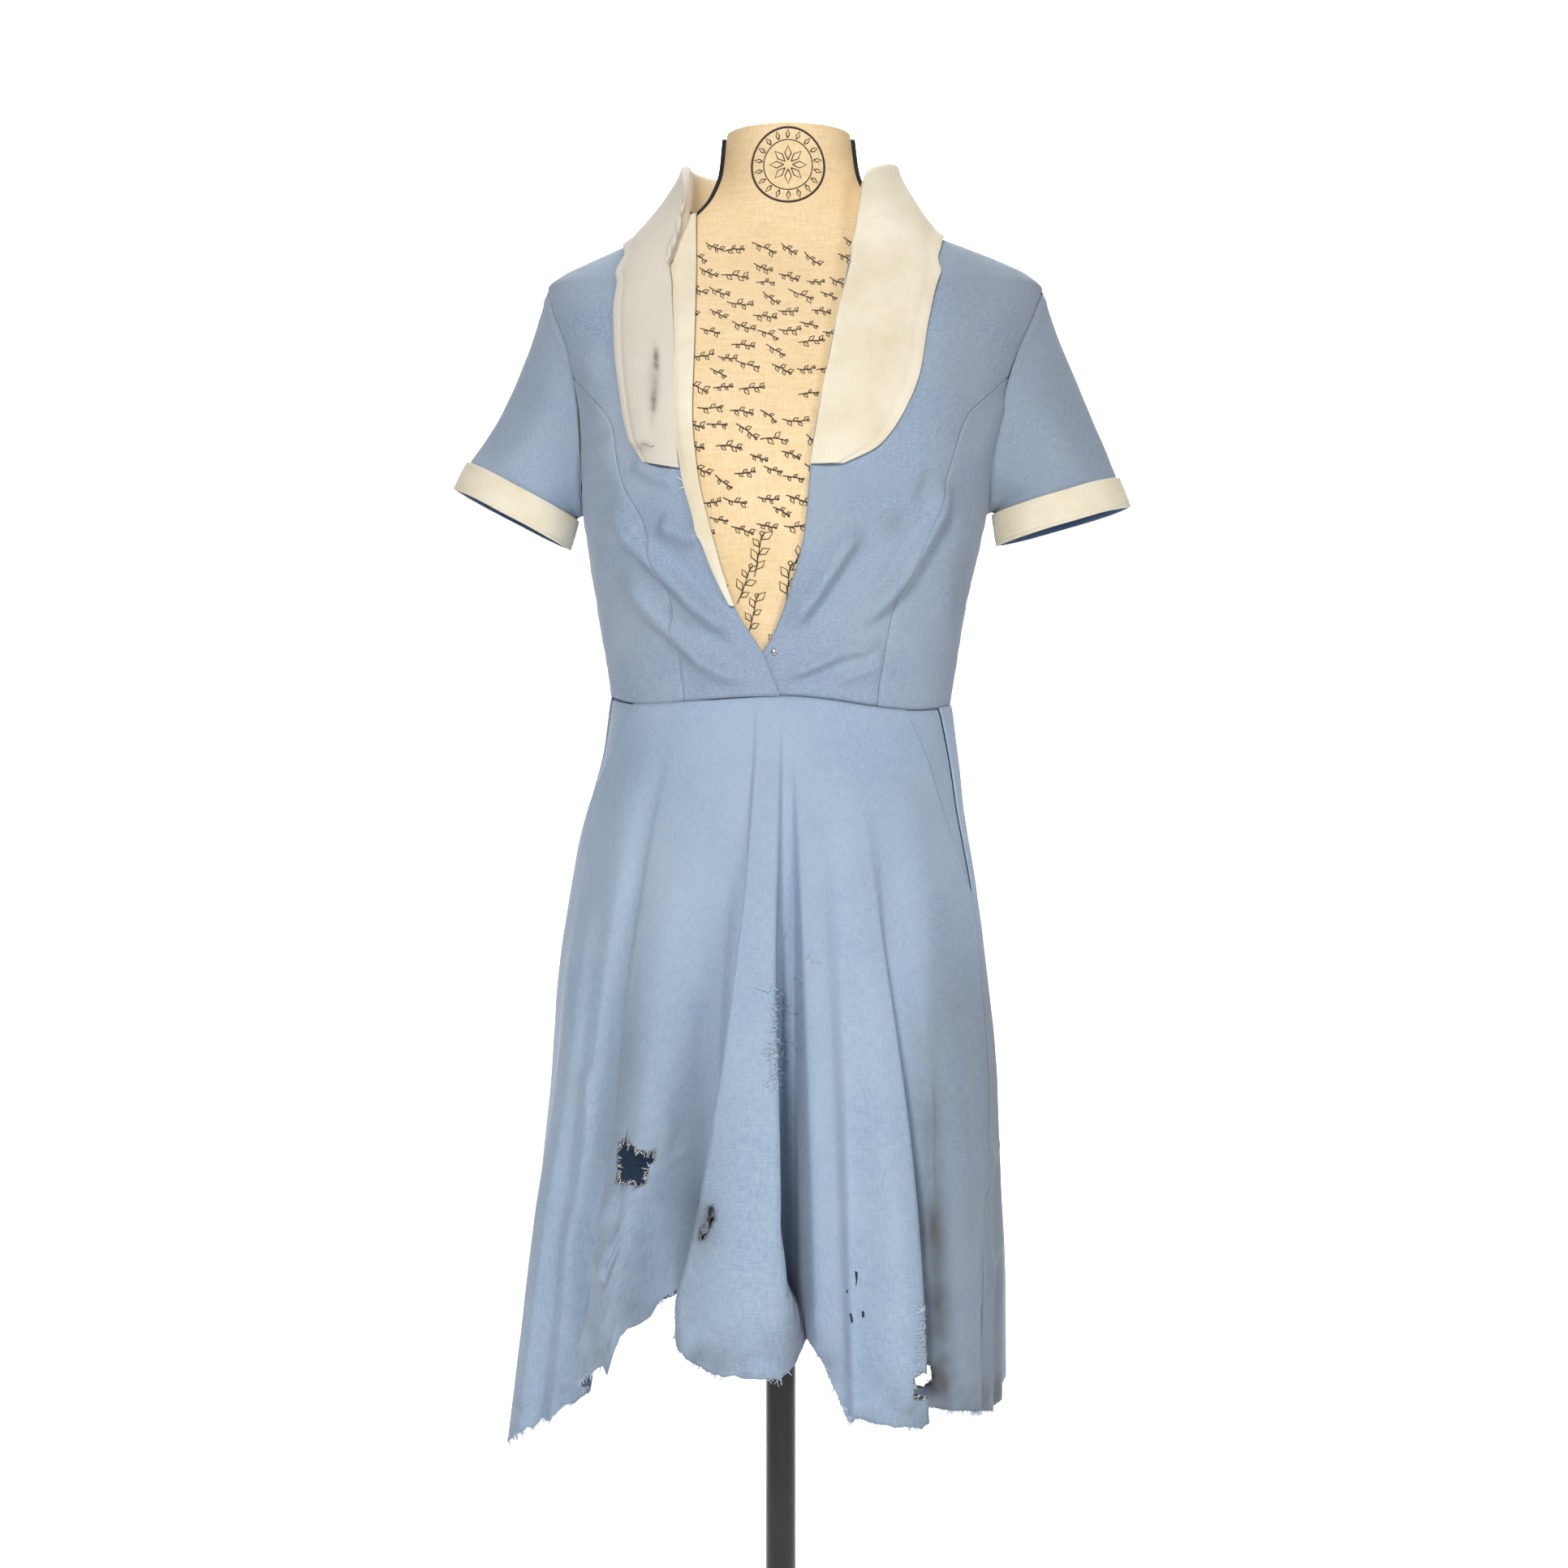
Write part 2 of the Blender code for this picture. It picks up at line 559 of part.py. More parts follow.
def cuff_point(sleeve, turn, share, out):
    """Return a point of the cuff's oval: share 0 at its top edge and 1 at its bottom edge."""
    middle = Vector(sleeve["top"]).lerp(Vector(sleeve["bottom"]), share)
    half = sleeve["top_half"] + (sleeve["bottom_half"] - sleeve["top_half"]) * share + out
    tilt = math.radians(sleeve["tilt"])
    outward = Vector((sleeve["side"] * math.cos(tilt), 0, math.sin(tilt)))
    forward = Vector((0, -(sleeve["depth"] + out), 0))
    return middle + outward * half * math.sin(turn) + forward * math.cos(turn)


def sleeve(side_name):
    sleeve = SLEEVES[side_name]
    loop = armhole_loop(sleeve["side"])
    flare = math.radians(sleeve["flare"])
    fall = Vector((sleeve["side"] * math.sin(flare), 0, -math.cos(flare)))

    def place(u, v):
        start, turn = loop[round((u if sleeve["side"] > 0 else 1 - u) * len(loop)) % len(loop)]
        row = round((1 - v) * (SLEEVE_BANDS + 1))
        if row > SLEEVE_BANDS:
            return cuff_point(sleeve, turn, 1, 0)
        end = cuff_point(sleeve, turn, 0, 0)
        reach = (end - start).length
        t = row / SLEEVE_BANDS
        leave = Vector((sleeve["side"] * SLEEVE_PUSH, -SLEEVE_PUSH * math.cos(turn),
                        -SLEEVE_DROP)) * reach
        arrive = fall * reach
        return (start * (2 * t ** 3 - 3 * t * t + 1) + leave * (t ** 3 - 2 * t * t + t)
                + end * (3 * t * t - 2 * t ** 3) + arrive * (t ** 3 - t * t))
    return place, len(loop)


def cuff(side_name):
    sleeve = SLEEVES[side_name]
    turns = [turn for point, turn in armhole_loop(sleeve["side"])]

    def place(u, v):
        turn = turns[round((u if sleeve["side"] > 0 else 1 - u) * len(turns)) % len(turns)]
        return cuff_point(sleeve, turn, 1 + CUFF_OVERHANG - v, SEAM + TRIM_CLOTH)
    return place, len(turns)


def carry(value, source, target):
    """Carry an angle from one rising set of fold angles to another, straight between folds."""
    i = min(max(bisect.bisect_right(source, value) - 1, 0), len(source) - 2)
    share = (value - source[i]) / (source[i + 1] - source[i])
    return target[i] + (target[i + 1] - target[i]) * share


def fold_angles(share):
    """Return the folds' angles at the waist and at a share of the length, all round once."""
    waist = FOLDS["waist"]
    here = [top + (low - top) * share for top, low in zip(waist, FOLDS["hem"])]
    return [waist[-1] - 360] + waist, [here[-1] - 360] + here


def skirt_point(angle, share, out=0.0):
    """Return a point of the skirt: share 0 at the waist seam and 1 at the hem."""
    round_angle = (angle + 180) % 360 - 180
    at_waist, here = fold_angles(share)
    line = carry((angle - here[0]) % 360 + here[0], here, at_waist)
    top = read(WAIST_SEAM, "height", round_angle) - SEAM / 2
    height = top + (read(HEM, "height", round_angle) - top) * share
    turn = math.radians(angle)
    side = read(SKIRT, "left_side" if math.sin(turn) > 0 else "right_side", height)
    depth = read(SKIRT, "front" if math.cos(turn) > 0 else "back", height)
    side += out
    depth += out
    for i in range(len(FOLDS["name"])):
        away = (line - FOLDS["waist"][i] + 180) % 360 - 180
        spread = FOLDS["before"][i] if away < 0 else FOLDS["after"][i]
        if abs(away) < spread:
            wave = 0.5 + 0.5 * math.cos(math.pi * away / spread)
            grown = ease(FOLDS["start"][i] - FOLD_LEAD, FOLD_FULL, share)
            side += FOLDS["height"][i] * wave * grown
            depth += FOLDS["height"][i] * wave * grown
    shift = read(BODY, "shift", height)
    return Vector((shift + side * math.sin(turn), -depth * math.cos(turn), height))


def skirt_front(u, v):
    """Place the front's columns along its folds, and spread the rest to its side edges."""
    share = 1 - v
    at_waist, here = fold_angles(share)
    right = carry(read(SKIRT_SIDES, "right_edge", share) + SKIRT_GAP, here, at_waist)
    left = carry(read(SKIRT_SIDES, "left_edge", share) - SKIRT_GAP, here, at_waist)
    column = round(u * FRONT_COLUMNS)
    if column < RIGHT_COLUMNS:
        line = right + (FRONT_LINES[0] - right) * column / RIGHT_COLUMNS
    elif column < FRONT_COLUMNS - LEFT_COLUMNS:
        line = FRONT_LINES[column - RIGHT_COLUMNS]
    else:
        past = column - FRONT_COLUMNS + LEFT_COLUMNS
        line = FRONT_LINES[-1] + (left - FRONT_LINES[-1]) * past / LEFT_COLUMNS
    return skirt_point(carry(line, at_waist, here), share)


def skirt_back(u, v):
    share = 1 - v
    start = read(SKIRT_SIDES, "left_seam", share) + SKIRT_GAP
    end = read(SKIRT_SIDES, "right_seam", share) + 360 - SKIRT_GAP
    return skirt_point(start + (end - start) * u, share)


def pocket_panel(side_name):
    side = 1 if side_name == "left" else -1

    def place(u, v):
        share = POCKET_ROWS / SKIRT_ROWS * (1 - v)
        seam = read(SKIRT_SIDES, side_name + "_seam", share) - side * SKIRT_GAP
        mouth = read(SKIRT_SIDES, side_name + "_edge", share) - side * POCKET_LAP
        across = u if side > 0 else 1 - u
        return skirt_point(mouth + (seam - mouth) * across, share, -POCKET_DEPTH)
    return place


def cut_rip(piece, name, outline):
    """Cut a rip through the front of a piece with a hidden prism."""
    shape = bmesh.new()
    points = [shape.verts.new((x, RIP_START, z)) for x, z in outline]
    lid = shape.faces.new(points)
    grown = bmesh.ops.extrude_face_region(shape, geom=[lid])
    moved = [part for part in grown["geom"] if isinstance(part, bmesh.types.BMVert)]
    bmesh.ops.translate(shape, verts=moved, vec=(0, RIP_END - RIP_START, 0))
    bmesh.ops.recalc_face_normals(shape, faces=shape.faces)
    mesh = bpy.data.meshes.new(name)
    shape.to_mesh(mesh)
    shape.free()
    cutter = bpy.data.objects.new(name, mesh)
    bpy.context.collection.objects.link(cutter)
    cutter.hide_render = True
    cutter.display_type = "WIRE"
    cut = piece.modifiers.new(name, "BOOLEAN")
    cut.operation = "DIFFERENCE"
    cut.object = cutter


def form_body(columns):
    """The limbless torso: rings from the hips to the neck, closed flat at both ends."""
    shape = bmesh.new()
    bmesh.ops.create_cone(shape, segments=columns, radius1=1, radius2=1, depth=1,
                          cap_ends=True)
    walls = [edge for edge in shape.edges if abs(edge.verts[0].co.z - edge.verts[1].co.z) > 0.5]
    bmesh.ops.subdivide_edges(shape, edges=walls, cuts=len(FORM_ROWS) - 2, use_grid_fill=True)
    for point in shape.verts:
        angle = math.degrees(math.atan2(point.co.x, -point.co.y))
        height = row_height(FORM_ROWS, point.co.z + 0.5)
        point.co = body_point(angle, height, -CLOTH - read(BODY, "air", height))
        if height in (FORM_BOTTOM, FORM_TOP):
            point.co.z = height
    mesh = bpy.data.meshes.new("form_body")
    shape.to_mesh(mesh)
    shape.free()
    piece = bpy.data.objects.new("form_body", mesh)
    bpy.context.collection.objects.link(piece)
    mesh.shade_smooth()
    return piece


def turned(name, radius, bottom, top, segments, edge=0.0):
    """A round piece of the stand, with its upper rim rounded over."""
    shape = bmesh.new()
    bmesh.ops.create_cone(shape, segments=segments, radius1=radius, radius2=radius,
                          depth=top - bottom, cap_ends=True)
    bmesh.ops.translate(shape, verts=shape.verts, vec=(0, 0, (top + bottom) / 2))
    if edge:
        rim = [e for e in shape.edges if all(v.co.z > top - 1e-5 for v in e.verts)]
        bmesh.ops.bevel(shape, geom=rim, offset=edge, segments=2, profile=0.5,
                        affect="EDGES", material=-1)
    mesh = bpy.data.meshes.new(name)
    shape.to_mesh(mesh)
    shape.free()
    piece = bpy.data.objects.new(name, mesh)
    bpy.context.collection.objects.link(piece)
    mesh.shade_smooth()
    mesh.set_sharp_from_angle(angle=math.radians(40))
    return piece


def build():
    for thing in list(bpy.data.objects):
        bpy.data.objects.remove(thing, do_unlink=True)

    blue = finish("blue_twill", (0.30, 0.38, 0.50))
    cream = finish("cream_cotton", (0.80, 0.76, 0.66))
    linen = finish("form_linen", (0.86, 0.73, 0.47))
    black = finish("black_enamel", (0.02, 0.02, 0.02), roughness=0.35, metallic=0.3)
    pieces = {}

    rows = len(BODICE_ROWS) - 1
    fronts = {"right": (-1, RIGHT_FRONT_EDGE), "left": (1, LEFT_FRONT_EDGE)}
    for name, (side, edge) in fronts.items():
        label = "bodice_front_" + name
        pieces[label] = place_panel(label, FRONT_GRID_COLUMNS, rows, bodice_front(side, edge),
                                    CLOTH)
        label = "bodice_side_" + name
        place, side_rows = bodice_side(side)
        pieces[label] = place_panel(label, SIDE_GRID_COLUMNS, side_rows, place, CLOTH)
        label = "sleeve_" + name
        place, columns = sleeve(name)
        pieces[label] = place_grid(label, columns, SLEEVE_BANDS + 1, place, CLOTH, closed=True)
        label = "cuff_" + name
        place, columns = cuff(name)
        pieces[label] = place_grid(label, columns, 1, place, TRIM_CLOTH, closed=True)
        label = "pocket_panel_" + name
        pieces[label] = place_grid(label, POCKET_COLUMNS, POCKET_ROWS, pocket_panel(name), CLOTH)
    pieces["bodice_back"] = place_panel("bodice_back", BACK_GRID_COLUMNS, rows, bodice_back, CLOTH)
    pieces["front_facing_right"] = place_panel("front_facing_right", 1, len(FACING_ROWS) - 1,
                                               facing, TRIM_CLOTH)
    pieces["collar"] = place_grid("collar", *COLLAR_GRID, collar(COLLAR_GRID[0]), TRIM_CLOTH)
    pieces["skirt_front"] = place_grid("skirt_front", FRONT_COLUMNS, SKIRT_ROWS, skirt_front, CLOTH)
    pieces["skirt_back"] = place_grid("skirt_back", SKIRT_BACK_COLUMNS, SKIRT_ROWS, skirt_back,
                                      CLOTH)
    for name, outline in RIPS.items():
        cut_rip(pieces["skirt_front"], name, outline)

    pieces["form_body"] = form_body(FORM_SEGMENTS)
    flange_bottom = FORM_BOTTOM - SEAM - FLANGE_HEIGHT
    pieces["form_flange"] = turned("form_flange", FLANGE_RADIUS, flange_bottom,
                                   FORM_BOTTOM - SEAM, FORM_SEGMENTS)
    pieces["stand_pole"] = turned("stand_pole", POLE_RADIUS, BASE_HEIGHT + SEAM,
                                  flange_bottom - SEAM, POLE_SEGMENTS)
    pieces["stand_base"] = turned("stand_base", BASE_RADIUS, 0.0, BASE_HEIGHT, BASE_SEGMENTS,
                                  edge=BASE_ROUNDING)

    trims = ("collar", "cuff", "front_facing")
    for name, piece in pieces.items():
        if name.startswith(trims):
            piece.data.materials.append(cream)
        elif name == "form_body":
            piece.data.materials.append(linen)
        elif name.startswith(("form_", "stand_")):
            piece.data.materials.append(black)
        else:
            piece.data.materials.append(blue)


build()
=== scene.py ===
import bisect
import math
import random
from functools import lru_cache

import bmesh
import bpy
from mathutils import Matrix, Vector, noise
from mathutils.bvhtree import BVHTree


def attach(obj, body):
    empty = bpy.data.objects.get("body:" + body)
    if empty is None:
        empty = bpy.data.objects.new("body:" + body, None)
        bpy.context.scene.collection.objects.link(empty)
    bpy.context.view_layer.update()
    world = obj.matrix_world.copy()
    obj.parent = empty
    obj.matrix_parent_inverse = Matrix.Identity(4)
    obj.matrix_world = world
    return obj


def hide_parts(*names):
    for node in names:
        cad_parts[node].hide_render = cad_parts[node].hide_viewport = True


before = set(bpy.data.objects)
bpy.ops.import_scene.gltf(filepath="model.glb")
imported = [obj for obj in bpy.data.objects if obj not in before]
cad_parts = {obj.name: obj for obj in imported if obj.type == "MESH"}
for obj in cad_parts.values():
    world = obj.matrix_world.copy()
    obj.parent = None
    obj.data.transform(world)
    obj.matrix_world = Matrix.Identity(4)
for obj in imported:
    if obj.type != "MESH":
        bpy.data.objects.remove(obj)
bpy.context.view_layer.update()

scene = bpy.context.scene

# Camera, lamps and floor; the lamps aim at a point each, and the last lights the paper behind
studio = {
    "cameraPlace": (0.0027, -2.2, 0.933), "lens": 60.3, "sensor": 36.0, "photoSide": 1932,
    "skyColour": "#FBFCFF", "skyStrength": 0.10, "floorHalf": 4.0, "wallAway": 2.6,
    "wallHeight": 4.5, "coveRadius": 1.4, "coveFrom": 0.3, "coveTo": 0.8, "floorRows": 40,
}
lamps = {
    "key": {"place": (-0.4, -2.45, 1.95), "aim": (0, 0, 0.95), "size": 0.45, "power": 44},
    "fill": {"place": (1.7, -2.2, 1.6), "aim": (0, 0, 0.95), "size": 0.9, "power": 17},
    "rim": {"place": (0.0, 1.1, 3.2), "aim": (0, 0, 0.95), "size": 2.6, "power": 60},
    "wash": {"place": (0.0, 1.3, 2.2), "aim": (0, 4.0, 1.2), "size": 1.6, "power": 110},
}


def toLinear(colour):
    values = [int(colour[i:i + 2], 16) / 255 for i in (1, 3, 5)]
    return [v / 12.92 if v <= 0.04045 else ((v + 0.055) / 1.055) ** 2.4 for v in values] + [1.0]


def addNode(tree, kind, inputs=(), **settings):
    node = tree.nodes.new(kind)
    for key, value in settings.items():
        setattr(node, key, value)
    for key, value in dict(inputs).items():
        if isinstance(value, bpy.types.NodeSocket):
            tree.links.new(value, node.inputs[key])
        else:
            node.inputs[key].default_value = value
    return node


def newMaterial(name, roughness, **sockets):
    material = bpy.data.materials.new(name)
    material.use_nodes = True
    shader = material.node_tree.nodes["Principled BSDF"]
    shader.inputs["Roughness"].default_value = roughness
    for key, value in sockets.items():
        shader.inputs[key.replace("_", " ")].default_value = value
    return material, material.node_tree, shader


def objectPlace(tree):
    return addNode(tree, "ShaderNodeTexCoord").outputs["Object"]


def grainOf(tree, place, scale, detail=2.0, rough=0.5):
    return addNode(tree, "ShaderNodeTexNoise", {"Vector": place, "Scale": scale, "Detail": detail,
                                                "Roughness": rough}).outputs["Fac"]


def blended(tree, share, first, second):
    # from the first colour to the second as the share goes from 0 to 1
    first, second = [toLinear(c) if isinstance(c, str) else c for c in (first, second)]
    return addNode(tree, "ShaderNodeMix", {0: share, 6: first, 7: second},
                   data_type="RGBA").outputs[2]


def linkInto(name, data):
    holder = bpy.data.objects.new(name, data)
    scene.collection.objects.link(holder)
    return holder


def pieceFrom(name, shape, surfaces=(), smooth=True):
    mesh = bpy.data.meshes.new(name)
    shape.to_mesh(mesh)
    shape.free()
    if smooth:
        mesh.shade_smooth()
    for surface in surfaces:
        mesh.materials.append(surface)
    return linkInto(name, mesh)


def setUpStudio():
    eye = bpy.data.cameras.new("camera")
    eye.lens = studio["lens"]
    eye.sensor_width = studio["sensor"]
    eye.sensor_fit = "HORIZONTAL"
    camera = linkInto("camera", eye)
    camera.location = studio["cameraPlace"]
    camera.rotation_euler = (math.radians(90), 0, 0)
    scene.camera = camera
    for name, values in lamps.items():
        lamp = bpy.data.lights.new(name, "AREA")
        lamp.shape = "DISK"
        lamp.size = values["size"]
        lamp.energy = values["power"]
        holder = linkInto(name, lamp)
        holder.location = values["place"]
        aim = Vector(values["aim"]) - holder.location
        holder.rotation_euler = aim.to_track_quat("-Z", "Y").to_euler()
    world = bpy.data.worlds.new("soft sky")
    world.use_nodes = True
    sky = world.node_tree.nodes["Background"]
    sky.inputs["Color"].default_value = toLinear(studio["skyColour"])
    sky.inputs["Strength"].default_value = studio["skyStrength"]
    scene.world = world
    scene.view_settings.view_transform = "Standard"


def seamlessFloor():
    # one sheet of paper: flat under the stand, then up in a wide cove behind it
    half, away = studio["floorHalf"], studio["wallAway"]
    radius, top = studio["coveRadius"], studio["wallHeight"]
    bend, straight = studio["coveFrom"], studio["coveTo"]
    shape = bmesh.new()
    bmesh.ops.create_grid(shape, x_segments=2, y_segments=studio["floorRows"], size=1)
    for point in shape.verts:
        share = (point.co.y + 1) / 2
        if share < bend:
            y, z = -half + (half + away - radius) * share / bend, 0.0
        elif share < straight:
            turn = (share - bend) / (straight - bend) * math.pi / 2
            y, z = away - radius + radius * math.sin(turn), radius - radius * math.cos(turn)
        else:
            y, z = away, radius + (top - radius) * (share - straight) / (1 - straight)
        point.co = (point.co.x * half, y, z)
    # matt seamless studio paper, pressed: almost white, with the faintest tooth
    material, tree, shader = newMaterial("matt seamless paper", 0.95)
    tooth = grainOf(tree, objectPlace(tree), 60.0, 3.0)
    tree.links.new(blended(tree, tooth, "#F7F8FA", "#FBFBFC"), shader.inputs["Base Color"])
    pieceFrom("studio_paper", shape, [material])


setUpStudio()
seamlessFloor()
print("studio ready")


# Curves and helpers
def table(columns, *rows):
    # reads a column at a key on a smooth curve through the rows that never overshoots
    names = columns.split()
    keys = [row[0] for row in rows]
    last = len(keys) - 1

    @lru_cache(maxsize=None)
    def look(column, key):
        values = [row[names.index(column)] for row in rows]
        key = min(max(key, keys[0]), keys[last])
        i = min(max(bisect.bisect_right(keys, key) - 1, 0), last - 1)
        slopes = [(values[j + 1] - values[j]) / (keys[j + 1] - keys[j]) for j in range(last)]

        def tangent(j):
            if j in (0, last):
                return slopes[min(j, last - 1)]
            before, after = slopes[j - 1], slopes[j]
            return 0.0 if before * after <= 0 else 2 * before * after / (before + after)

        step = keys[i + 1] - keys[i]
        t = (key - keys[i]) / step
        return (values[i] + tangent(i) * step * t * (1 - t) ** 2
                + tangent(i + 1) * step * t * t * (t - 1)
                + (values[i + 1] - values[i]) * t * t * (3 - 2 * t))
    return look


def ease(low, high, value):
    t = min(max((value - low) / (high - low), 0.0), 1.0)
    return t * t * (3 - 2 * t)


def bump(middle, width, value):
    return math.exp(-((value - middle) / width) ** 2)


def roundAngle(angle):
    return (angle + 180) % 360 - 180


def rowHeight(rows, share):
    place = min(max(share, 0.0), 1.0) * (len(rows) - 1)
    i = min(int(place), len(rows) - 2)
    return rows[i] + (rows[i + 1] - rows[i]) * (place - i)


creaseLine = {"reach": 2.6, "grown": 0.22, "fades": 0.75}


def ripple(point, size, seed):
    return noise.noise(Vector(point) / size + Vector((seed, seed * 0.37, -seed)))


def creaseRise(creases, across, up):
    # how far the cloth stands out in its creases. Each has a half width, a height, how far its
    # left flank spreads, and the points of (across, up) that it runs along
    rise = 0.0
    for width, depth, lean, *path in creases.values():
        reach = creaseLine["reach"] * width
        if not (min(p[0] for p in path) - reach < across < max(p[0] for p in path) + reach
                and min(p[1] for p in path) - reach < up < max(p[1] for p in path) + reach):
            continue
        best, bestAlong, bestSide, run = 1e9, 0.0, 1.0, 0.0
        total = sum(math.dist(a, b) for a, b in zip(path, path[1:]))
        for (ax, ay), (bx, by) in zip(path, path[1:]):
            dx, dy = bx - ax, by - ay
            length = math.hypot(dx, dy)
            t = min(max(((across - ax) * dx + (up - ay) * dy) / length ** 2, 0.0), 1.0)
            away = math.hypot(across - ax - dx * t, up - ay - dy * t)
            if away < best:
                best, bestAlong = away, (run + t * length) / total
                bestSide = 1.0 if dx * (up - ay) - dy * (across - ax) > 0 else -1.0
            run += length
        spread = width * (lean if bestSide > 0 else 1.0)
        taper = (ease(0.0, creaseLine["grown"], bestAlong)
                 * ease(1.0, creaseLine["fades"], bestAlong))
        rise += depth * math.exp(-(best / spread) ** 2) * taper
    return rise


def bakedMesh(piece):
    bpy.context.view_layer.update()
    ready = piece.evaluated_get(bpy.context.evaluated_depsgraph_get())
    return bpy.data.meshes.new_from_object(ready)


def applyAll(piece):
    mesh = bakedMesh(piece)
    piece.modifiers.clear()
    piece.data = mesh
    mesh.name = piece.name


def clothGrid(name, columns, rows, place, wall, size, fabric, closed=False, rim=0.0):
    # a piece of cloth: a grid placed by its shares u and v, its cut size in metres as a UV map
    shape = bmesh.new()
    cut = shape.loops.layers.uv.new("cut")
    bmesh.ops.create_grid(shape, x_segments=columns, y_segments=rows, size=1, calc_uvs=True)
    for face in shape.faces:
        for corner in face.loops:
            corner[cut].uv = (corner[cut].uv.x * size[0], corner[cut].uv.y * size[1])
    for point in shape.verts:
        point.co = place((point.co.x + 1) / 2, (point.co.y + 1) / 2)
    if closed:
        bmesh.ops.remove_doubles(shape, verts=shape.verts, dist=1e-5)
    piece = pieceFrom(name, shape, [materials[side] for side in fabric])
    wallMaker = piece.modifiers.new("wall", "SOLIDIFY")
    wallMaker.thickness = wall
    wallMaker.offset = -1
    wallMaker.material_offset = 1
    if rim:
        edges = piece.modifiers.new("rim", "BEVEL")
        edges.width = rim
        edges.segments = 2
        edges.limit_method = "ANGLE"
        edges.angle_limit = math.radians(50)
    return piece


def paint(piece, name, value):
    # a number from 0 to 1 at each point, for a material to read
    layer = piece.data.attributes.new(name, "FLOAT", "POINT")
    for i, point in enumerate(piece.data.vertices):
        layer.data[i].value = min(max(value(point.co), 0.0), 1.0)


def threads(name, strands, radius, material, sides=0):
    # many thin strands of thread in one piece, each a smooth run of points
    curve = bpy.data.curves.new(name, "CURVE")
    curve.dimensions = "3D"
    curve.bevel_depth = radius
    curve.bevel_resolution = sides
    for strand in strands:
        spline = curve.splines.new("POLY")
        spline.points.add(len(strand) - 1)
        for i, point in enumerate(strand):
            spline.points[i].co = (*point, 1.0)
    soft = linkInto(name + "_curve", curve)
    mesh = bakedMesh(soft)
    bpy.data.objects.remove(soft)
    mesh.name = name
    mesh.materials.clear()
    mesh.materials.append(material)
    mesh.shade_smooth()
    return linkInto(name, mesh)


def pixelRay(x, y):
    # the line from the camera through a point of the photograph
    scale = studio["sensor"] / studio["lens"] / studio["photoSide"]
    middle = studio["photoSide"] / 2
    return Vector(((x - middle) * scale, 1.0, (middle - y) * scale)).normalized()


def onCloth(tree, x, y, lift=0.0):
    eye = Vector(studio["cameraPlace"])
    place, normal = tree.ray_cast(eye, pixelRay(x, y))[:2]
    if place is None:
        return None
    return place + normal * lift if normal.y < 0 else place - normal * lift


# Materials
def newCloth(name, roughness, **sockets):
    # a material with the piece's own cut, in metres, and its place for patterns to lie on
    material, tree, shader = newMaterial(name, roughness, **sockets)
    cut = addNode(tree, "ShaderNodeUVMap", uv_map="cut").outputs["UV"]
    return material, tree, shader, cut, objectPlace(tree)


def stretched(tree, place, scale):
    return addNode(tree, "ShaderNodeMapping", {"Vector": place, "Scale": scale}).outputs[0]


def added(tree, first, second):
    return addNode(tree, "ShaderNodeMath", {0: first, 1: second}, operation="ADD").outputs[0]


def ranged(tree, value, low, high, least=0.0, most=1.0):
    return addNode(tree, "ShaderNodeMapRange", {"Value": value, "From Min": low, "From Max": high,
                                                "To Min": least, "To Max": most}).outputs[0]


def painted(tree, name):
    return addNode(tree, "ShaderNodeAttribute", attribute_name=name).outputs["Fac"]


def finish(tree, shader, colour, strength, depth, height):
    relief = addNode(tree, "ShaderNodeBump", {"Strength": strength, "Distance": depth,
                                              "Height": height})
    tree.links.new(colour, shader.inputs["Base Color"])
    tree.links.new(relief.outputs["Normal"], shader.inputs["Normal"])


def twill(name, warp, weft, worn, grimeAndShade):
    # cotton twill, woven and washed many times: matt, faintly heathered along the warp, the
    # ridges drawn coarser than real ones so that they show
    material, tree, shader, cut, place = newCloth(
        name, 0.92, Sheen_Weight=0.18, Sheen_Roughness=0.5, Specular_IOR_Level=0.22)
    grain = added(tree, grainOf(tree, stretched(tree, cut, (900, 120, 1)), 1.0),
                  grainOf(tree, stretched(tree, cut, (150, 800, 1)), 1.0))
    woven = blended(tree, ranged(tree, grain, 0.75, 1.25), warp, weft)
    fading = ranged(tree, grainOf(tree, place, 11.0, 4.0, 0.6), 0.38, 0.72, most=0.55)
    # the soil attribute mixes in the grime colour: real grime, and on the skirt also painted shade
    # in its folds
    soiledAndShaded = blended(tree, painted(tree, "soilAndShade"), blended(tree, fading, woven, worn), grimeAndShade)
    burnt = blended(tree, painted(tree, "scorch"), soiledAndShaded, "#3B3029")
    ridges = addNode(tree, "ShaderNodeTexWave", {"Vector": cut, "Scale": 290.0,
                     "Distortion": 1.2, "Detail": 1.0}, bands_direction="DIAGONAL")
    weave = addNode(tree, "ShaderNodeMath", {0: ridges.outputs["Fac"], 1: 0.35, 2: grain},
                    operation="MULTIPLY_ADD")
    finish(tree, shader, burnt, 0.35, 0.0004, weave.outputs[0])
    return material


def agedCotton(name, clean, yellowed, shadeGrey):
    # plain-woven white cotton, gone cream with age: smoother than the twill, cloudy yellowing
    material, tree, shader, cut, place = newCloth(
        name, 0.86, Sheen_Weight=0.12, Sheen_Roughness=0.5, Specular_IOR_Level=0.28)
    yellowing = ranged(tree, grainOf(tree, place, 18.0, 5.0, 0.6), 0.35, 0.70)
    # the leaf shade attribute greys the collar's right leaf: painted shade
    leafShaded = blended(tree, painted(tree, "leafShade"), blended(tree, yellowing, clean, yellowed), shadeGrey)
    stained = blended(tree, painted(tree, "soilAndShade"), leafShaded, "#5E564C")
    weave = grainOf(tree, stretched(tree, cut, (700, 700, 1)), 1.0)
    finish(tree, shader, stained, 0.25, 0.0003, weave)
    return material


